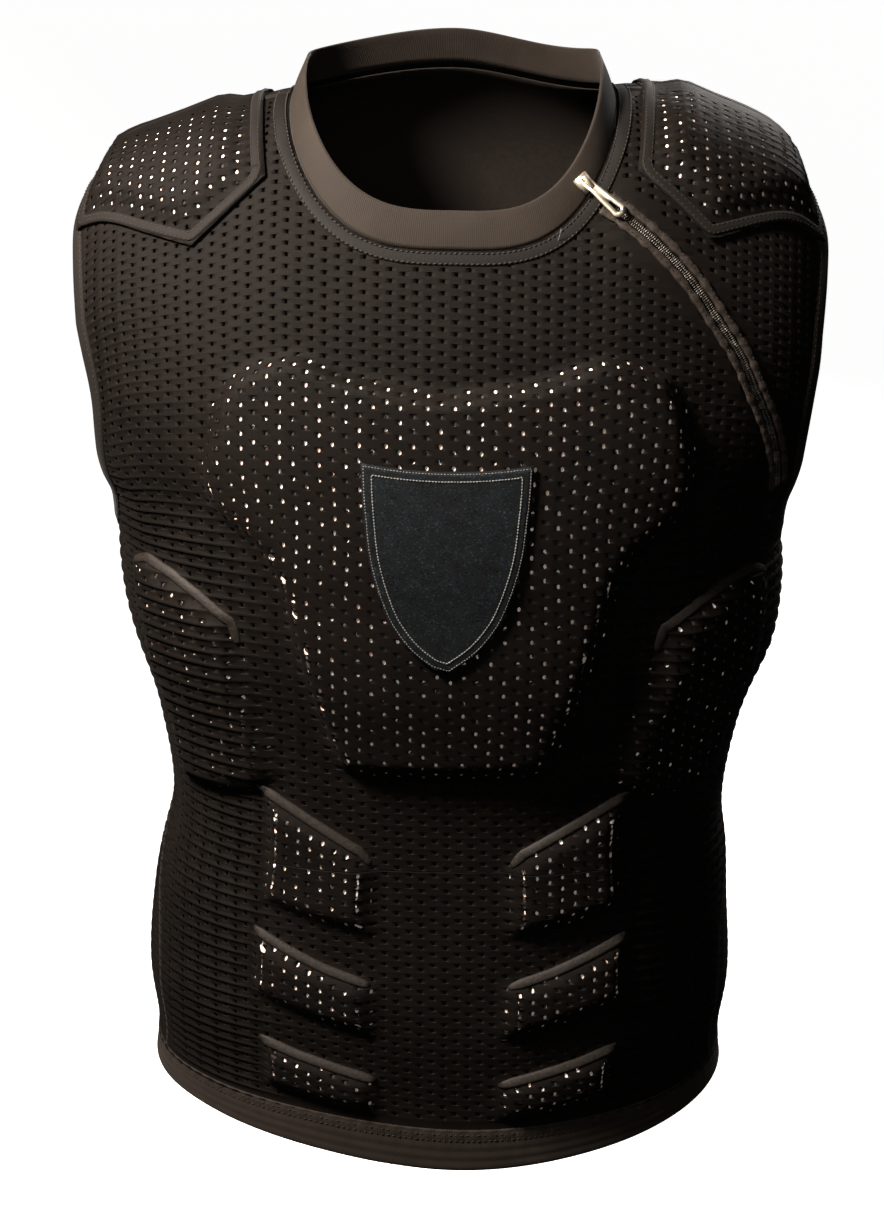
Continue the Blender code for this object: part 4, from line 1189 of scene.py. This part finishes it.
cover = {
    "inner": 0.345, "spread": 0.030, "margin": 0.006, "gap": 0.0007, "wall": 0.0015, "raise": 0.0065,
    "border": 0.0050, "slope": 0.0146, "weltWidth": 0.0062, "weltHeight": 0.0011,
    # side: (share of the way out to the armhole, drop) along the cover's lower edge
    "feet": {front: np.array(((0.00, 0.061), (0.35, 0.104), (1.00, 0.046))),
             back: np.array(((0.00, 0.030), (0.50, 0.040), (1.00, 0.030)))},
}


def coverPlaces(hand, share, way):
    # share 0 to 1 from the neck to the armhole, way -1 to 1 from the front point over the ridge to the back
    sides = np.where(way < 0, front, back)
    places = np.zeros((len(share), 2))
    for side in (front, back):
        m = sides == side
        foot = np.interp(share[m], *cover["feet"][side].T)
        climb = 1 - np.abs(way[m]) * (1 - climbOf(side, foot)[2])
        inner = cover["inner"] - cover["spread"] * np.abs(way[m])
        outer = armholeEdge(climb) - cover["margin"]
        places[m] = np.stack([hand * (inner + (outer - inner) * share[m]) * girth,
                              dropAt(side, climb) * length], -1)
    return sides, np.maximum(places, (-9, 1e-6))


def coverLoop(inset, count=200):
    # Round the cover, just inside its edge, with its corners rounded
    corner = 0.05
    low, high = inset, 1 - inset
    point = cover["feet"][front][1, 0]
    corners = np.array(((low, -high), (point, -high), (high, -high), (high, high), (low, high)))
    loop = []
    for k, at in enumerate(corners):
        before, after = corners[k - 1], corners[(k + 1) % len(corners)]
        start, end = (at + (beside - at) / np.linalg.norm(beside - at) * corner
                      for beside in (before, after))
        for t in np.linspace(0, 1, 6):
            loop.append(start * (1 - t) ** 2 + at * 2 * t * (1 - t) + end * t * t)
    return evenly(np.array(loop), 4.2 / count, True)


def coverOutline(hand, side):
    # The half of the cover on one side, as a flat outline whose last edge is on the ridge
    way = np.linspace(0, 1, 25)
    share = np.linspace(0, 1, 41)
    sign = -1 if side == front else 1
    tiny = 1e-9
    down = coverPlaces(hand, np.zeros_like(way), sign * np.maximum(way, tiny))[1]
    foot = coverPlaces(hand, share, np.full_like(share, sign))[1]
    rise = coverPlaces(hand, np.ones_like(way), sign * np.maximum(way[::-1], tiny))[1]
    return np.concatenate([down, foot[1:-1], rise])


def coverLift(hand, side):
    outline = coverOutline(hand, side)

    def lift(places):
        apart = edgeDistance(places, outline, closed=False)[0]
        rise = smooth((apart - cover["border"]) / cover["slope"])
        return cover["gap"] + cover["wall"] + cover["raise"] * rise
    return lift


for hand, word in bothHands:
    for side, end in bothSides:
        made = perforated(f"cover_{end}_{word}", side, coverOutline(hand, side),
                          extra=coverLift(hand, side), relief=False)
        if side == front:
            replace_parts(made, "shoulder_cover_" + word)
    share, way = (v.reshape(-1)
                  for v in np.meshgrid(np.linspace(0.09, 0.91, 22), np.linspace(-0.90, 0.90, 31)))
    sides, places = coverPlaces(hand, share, way)
    lifts = np.zeros(len(places))
    for side in (front, back):
        lifts[sides == side] = coverLift(hand, side)(places[sides == side])
    outer = laid(sides, places, lifts - clothWall - foamPads["skin"], False)[0]
    inner = laid(sides, places, 0.0004, False)[0]
    grid = (31, 22)
    foam = closedGrid("shoulder_foam_" + word, outer.reshape(*grid, 3), inner.reshape(*grid, 3), "foam",
                      places.reshape(*grid, 2), more=("backing",))
    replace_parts(foam, "shoulder_pad_" + word)
    loop = coverLoop(0.036)
    sides, places = coverPlaces(hand, *loop.T)
    edge = strip("cover_welt_" + word, sides, places, welt(cover["weltWidth"], cover["weltHeight"], 0.0018),
                 "binding",
                    closed=True, extra=cover["gap"] + cover["wall"] - 0.0003, relief=False)
    for end, inset in (("outer", 0.020), ("inner", 0.052)):
        sides, places = coverPlaces(hand, *coverLoop(inset).T)
        stitches(f"cover_stitches_{end}_{word}", sides, places, closed=True, relief=False,
                 extra=cover["gap"] + cover["wall"] + cover["weltHeight"] - 0.0004, seed=11)
print("covers done")


# Seams of the panels

seams = {
    # side seam, which runs forward under the waist: drop, across
    "side": np.array(((0.404, 0.995), (0.50, 0.985), (0.60, 0.975), (0.685, 0.955), (0.75, 0.88),
                      (0.81, 0.815),
                      (0.88, 0.80), (0.955, 0.815))),
}
for hand, word in bothHands:
    drops = np.linspace(0.404, 0.955, 90)
    places = np.stack([hand * through(drops, *seams["side"].T) * girth, drops * length], -1)
    made = strip("side_seam_" + word, front, places, welt(0.0042, 0.0007), "binding")
    for k, shift in enumerate((-0.0012, 0.0012)):
        stitches(f"side_stitches_{k}_{word}", front, places + (shift, 0), extra=0.0006, seed=13 + k)
    neckPoint = neckAcross * girth
    xs = np.linspace(neckPoint + 0.001, (cover["inner"] + 0.01) * girth, 16)
    made = strip("shoulder_seam_" + word, front, np.stack([hand * xs, np.full(16, 0.0006)], -1),
                 welt(0.0052, 0.0010), "binding")


# The patch on the chest, its field bare

patch = {
    "wall": 0.0012, "gap": 0.0007, "dip": 0.006, "dipFade": 0.060,
    # drop, half width as a share across
    "rows": np.array(((0.295, 0.153), (0.340, 0.156), (0.378, 0.150), (0.410, 0.131), (0.441, 0.099),
                      (0.463, 0.058),
                      (0.479, 0.010))),
}


def patchPlaces(share, t):
    drop = patch["rows"][0, 0] + t * (patch["rows"][-1, 0] - patch["rows"][0, 0])
    half = through(drop, *patch["rows"].T)
    fade = np.maximum(0, 1 - (drop - patch["rows"][0, 0]) / patch["dipFade"])
    return np.stack([share * half * girth, (drop + patch["dip"] * fade * (1 - share ** 2)) * length], -1)


def patchLoop(inset):
    # Round the patch from its left top corner, drawn in by the inset
    t = np.linspace(0, 1, 40)
    down = patchPlaces(np.ones(40), t)
    top = patchPlaces(np.linspace(-1, 1, 31), np.zeros(31))
    outline = np.concatenate([top[1:], down[1:], (down * (-1, 1))[::-1][1:]])
    outline = evenly(outline, 0.0012, True)
    step = alongWay(outline, True)
    moved = outline + np.stack([-step[:, 1], step[:, 0]], -1) * inset
    apart = edgeDistance(moved, outline)[0]
    return moved[apart > inset * 0.93]


share, t = np.meshgrid(np.linspace(-1, 1, 29), np.linspace(1, 0, 41))
places = patchPlaces(share.reshape(-1), t.reshape(-1))
apart = edgeDistance(places, patchLoop(0.0))[0]
swell = 0.0006 * smooth(apart / 0.008) - 0.0003 * smooth(1 - apart / 0.0012)
outer = cloth(front, places, patch["gap"] + patch["wall"] + swell)[0]
inner = cloth(front, places, patch["gap"] - 0.0004)[0]
patchPiece = closedGrid("patch", outer.reshape(41, 29, 3), inner.reshape(41, 29, 3), "patch",
                        places.reshape(41, 29, 2))
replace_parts(patchPiece, "chest_patch")
for word, inset, lift in (("edge", 0.0011, 0.0003), ("inner", 0.0050, 0.0006)):
    stitches("patch_stitches_" + word, front, patchLoop(inset), "palethread", closed=True,
             extra=patch["gap"] + patch["wall"] + lift, spacing=0.0017, size=(0.0019, 0.0008, 0.0009),
             seed=17)
print("patch done")


# Zipper

zipper = {"stations": 150, "lipAt": 0.0049, "lipWidth": 0.0044, "lipHeight": 0.0014, "tapeWidth": 0.024,
          "tapeWall": 0.0006, "tapeDepth": 0.0016,
          "stitchesOut": 0.0006, "stitchesUp": 0.0013, "toothOut": 0.00105, "toothDown": 0.0004,
          "toothPitch": 0.0013, "tooth": (0.0029, 0.00085, 0.0010)}


def zipPlaces(count):
    run = np.concatenate([[0], np.cumsum(np.linalg.norm(np.diff(zipWay, axis=0), axis=1))])
    at = np.linspace(0, 1, count) * run[-1]
    return np.stack([through(at, run, zipWay[:, 0]), through(at, run, zipWay[:, 1])], -1)


places = zipPlaces(zipper["stations"])
points, normals = cloth(front, places)
along = alongWay(points)
aside = unit(np.cross(normals, along))
tape = sweep("zip_tape_cloth", points - normals * zipper["tapeDepth"], normals, aside,
             np.array(((-1, -1), (-1, 1), (1, 1), (1, -1))) * (zipper["tapeWidth"] / 2,
                                                               zipper["tapeWall"] / 2), "shadeSheetAndTape",
             closed=False)
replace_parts(tape, "zip_tape")
run = np.linspace(0, 1, zipper["stations"])
for k, (word, way) in enumerate((("neck", -1), ("arm", 1))):
    lumps = 1 + 0.13 * np.sin(run * 97 + k) + 0.10 * np.sin(run * 171 + 2 * k + 1)
    lip = sweep("zip_lip_" + word, points + aside * way * zipper["lipAt"], normals, aside,
                welt(zipper["lipWidth"], zipper["lipHeight"], 0.0014), "lip", closed=False, swell=lumps)
    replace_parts(lip, "zip_piping_" + word)
    away = zipper["lipAt"] + zipper["stitchesOut"]
    row, normal = evenly(points + aside * way * away + normals * zipper["stitchesUp"], stitchRun, False,
                         normals)
    repeat("zip_stitches_" + word, row, alongWay(row), unit(normal), bead(*stitchSize), "thread")
teeth = []
for way in (-1, 1):
    row, normal, beside = evenly(points + aside * way * zipper["toothOut"] - normals * zipper["toothDown"],
                                 zipper["toothPitch"], False, normals, aside)
    if way == 1:
        row = (row[1:] + row[:-1]) / 2
        normal, beside = normal[1:], beside[1:]
    teeth.append((row, beside, normal))
row, beside, normal = (np.concatenate(v) for v in zip(*teeth))
coil = repeat("zip_teeth", row, unit(beside), unit(normal), bead(*zipper["tooth"]), "coil", uneven=0.03)
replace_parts(coil, "zip_coil")


def softened(name, node, rideOn, bevel=0.00028):
    # A metal piece with its edges rounded, in the node's place
    work = bmesh.new()
    work.from_mesh(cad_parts[node].data)
    bmesh.ops.remove_doubles(work, verts=work.verts, dist=1e-6)
    bmesh.ops.dissolve_limit(work, angle_limit=math.radians(1), verts=work.verts, edges=work.edges)
    sharp = [e for e in work.edges if e.is_manifold and e.calc_face_angle(0) > math.radians(25)]
    bmesh.ops.bevel(work, geom=sharp, offset=bevel, segments=2, affect="EDGES", clamp_overlap=True)
    mesh = bpy.data.meshes.new(name)
    work.to_mesh(mesh)
    work.free()
    mesh.materials.append(looks["metal"])
    mesh.polygons.foreach_set("use_smooth", np.ones(len(mesh.polygons), bool))
    mesh.set_sharp_from_angle(angle=math.radians(50))
    obj = bpy.data.objects.new(name, mesh)
    bpy.context.scene.collection.objects.link(obj)
    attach(obj, rideOn)
    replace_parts(obj, node)


softened("slider", "zip_slider", "vest")
softened("pull", "zip_puller", "puller")
print("zipper done")


# The outlines of the panels and of the sheets inside, worked out again and not kept


for side, (upper, lower, meeting) in panels.items():
    panelOutline(side, meeting)
    np.array(((-girth, meeting), (girth, meeting), (girth, hemLevel * length),
                             (-girth, hemLevel * length)))
for shadeSheetAndTape, side in shadeSheets["pieces"]:
    panelOutline(side)


# Stage, lights and camera

def stage():
    # A pale round floor that sweeps up into a backdrop
    floor, rise, bend, radius = -0.86, 4.2, 0.9, 2.6
    turn = np.linspace(-math.pi / 2, 0, 12)
    way = np.concatenate([[(0.02, floor)],
                          np.stack([radius + bend * np.cos(turn), floor + bend + bend * np.sin(turn)], -1),
                          [(radius + bend, floor + rise)]])
    around = np.linspace(0, math.tau, 64, endpoint=False)
    points = np.stack(np.broadcast_arrays(way[:, :1] * np.cos(around), way[:, :1] * np.sin(around),
                                          way[:, 1:]), -1)
    made = piece("backdrop", points.reshape(-1, 3), [gridFaces(len(way), 64, wrapColumns=True),
                                                     np.arange(64)[None]], "stage", rideOn=None)
    made.visible_diffuse = made.visible_glossy = False


def lamp(name, place, target, size, power, colour, cone=None):
    # A soft square light, or with a cone in degrees a soft round one that fades towards the cone's edge
    light = bpy.data.lights.new(name, "SPOT" if cone else "AREA")
    light.energy, light.color = power, colour
    if cone:
        light.spot_size, light.spot_blend, light.shadow_soft_size = math.radians(cone), 1.0, size
    else:
        light.size = size
    obj = bpy.data.objects.new(name, light)
    obj.location = place
    obj.rotation_mode = "QUATERNION"
    obj.rotation_quaternion = (Vector(target) - Vector(place)).to_track_quat("-Z", "Y")
    bpy.context.scene.collection.objects.link(obj)


looks["stage"] = plainShader("pale paper", (0.93, 0.93, 0.93), (0.95, 0.95, 0.95), 0.9, 3.0, 0.0001,
                             Emission_Color=(1, 1, 1, 1), Emission_Strength=0.95)
stage()
lamp("key", (-0.66, -0.50, 0.64), (-0.08, -0.10, -0.12), 0.14, 330, (1.0, 0.88, 0.78), 62)
lamp("fill", (0.2, -2.2, 0.5), (0, 0, -0.2), 0.8, 11, (1.0, 0.95, 0.90))
lamp("back", (0.9, 1.7, 0.9), (0, 0, -0.2), 0.8, 30, (1.0, 0.95, 0.90))
world = bpy.data.worlds.new("studio")
world.use_nodes = True
world.node_tree.nodes["Background"].inputs[0].default_value = (1, 1, 1, 1)
world.node_tree.nodes["Background"].inputs[1].default_value = 0.008
bpy.context.scene.world = world
bpy.context.scene.view_settings.view_transform = "Standard"

view = {"place": Vector((0, -1.35, 0.14)), "pitch": math.radians(18.2), "roll": math.radians(0.9),
        "lens": 69.86,
        "shift": -3 / 1211}
camera = bpy.data.objects.new("camera", bpy.data.cameras.new("camera"))
camera.data.lens, camera.data.sensor_width, camera.data.shift_x = view["lens"], 36.0, view["shift"]
camera.data.clip_start, camera.data.clip_end = 0.05, 50
up = Vector((0, math.sin(view["pitch"]), math.cos(view["pitch"])))
across = Vector((1, 0, 0))
rolled = across * math.cos(view["roll"]) + up * math.sin(view["roll"])
upright = up * math.cos(view["roll"]) - across * math.sin(view["roll"])
camera.matrix_world = Matrix((rolled, upright, rolled.cross(upright))).transposed().to_4x4()
camera.location = view["place"]
bpy.context.scene.collection.objects.link(camera)
bpy.context.scene.camera = camera
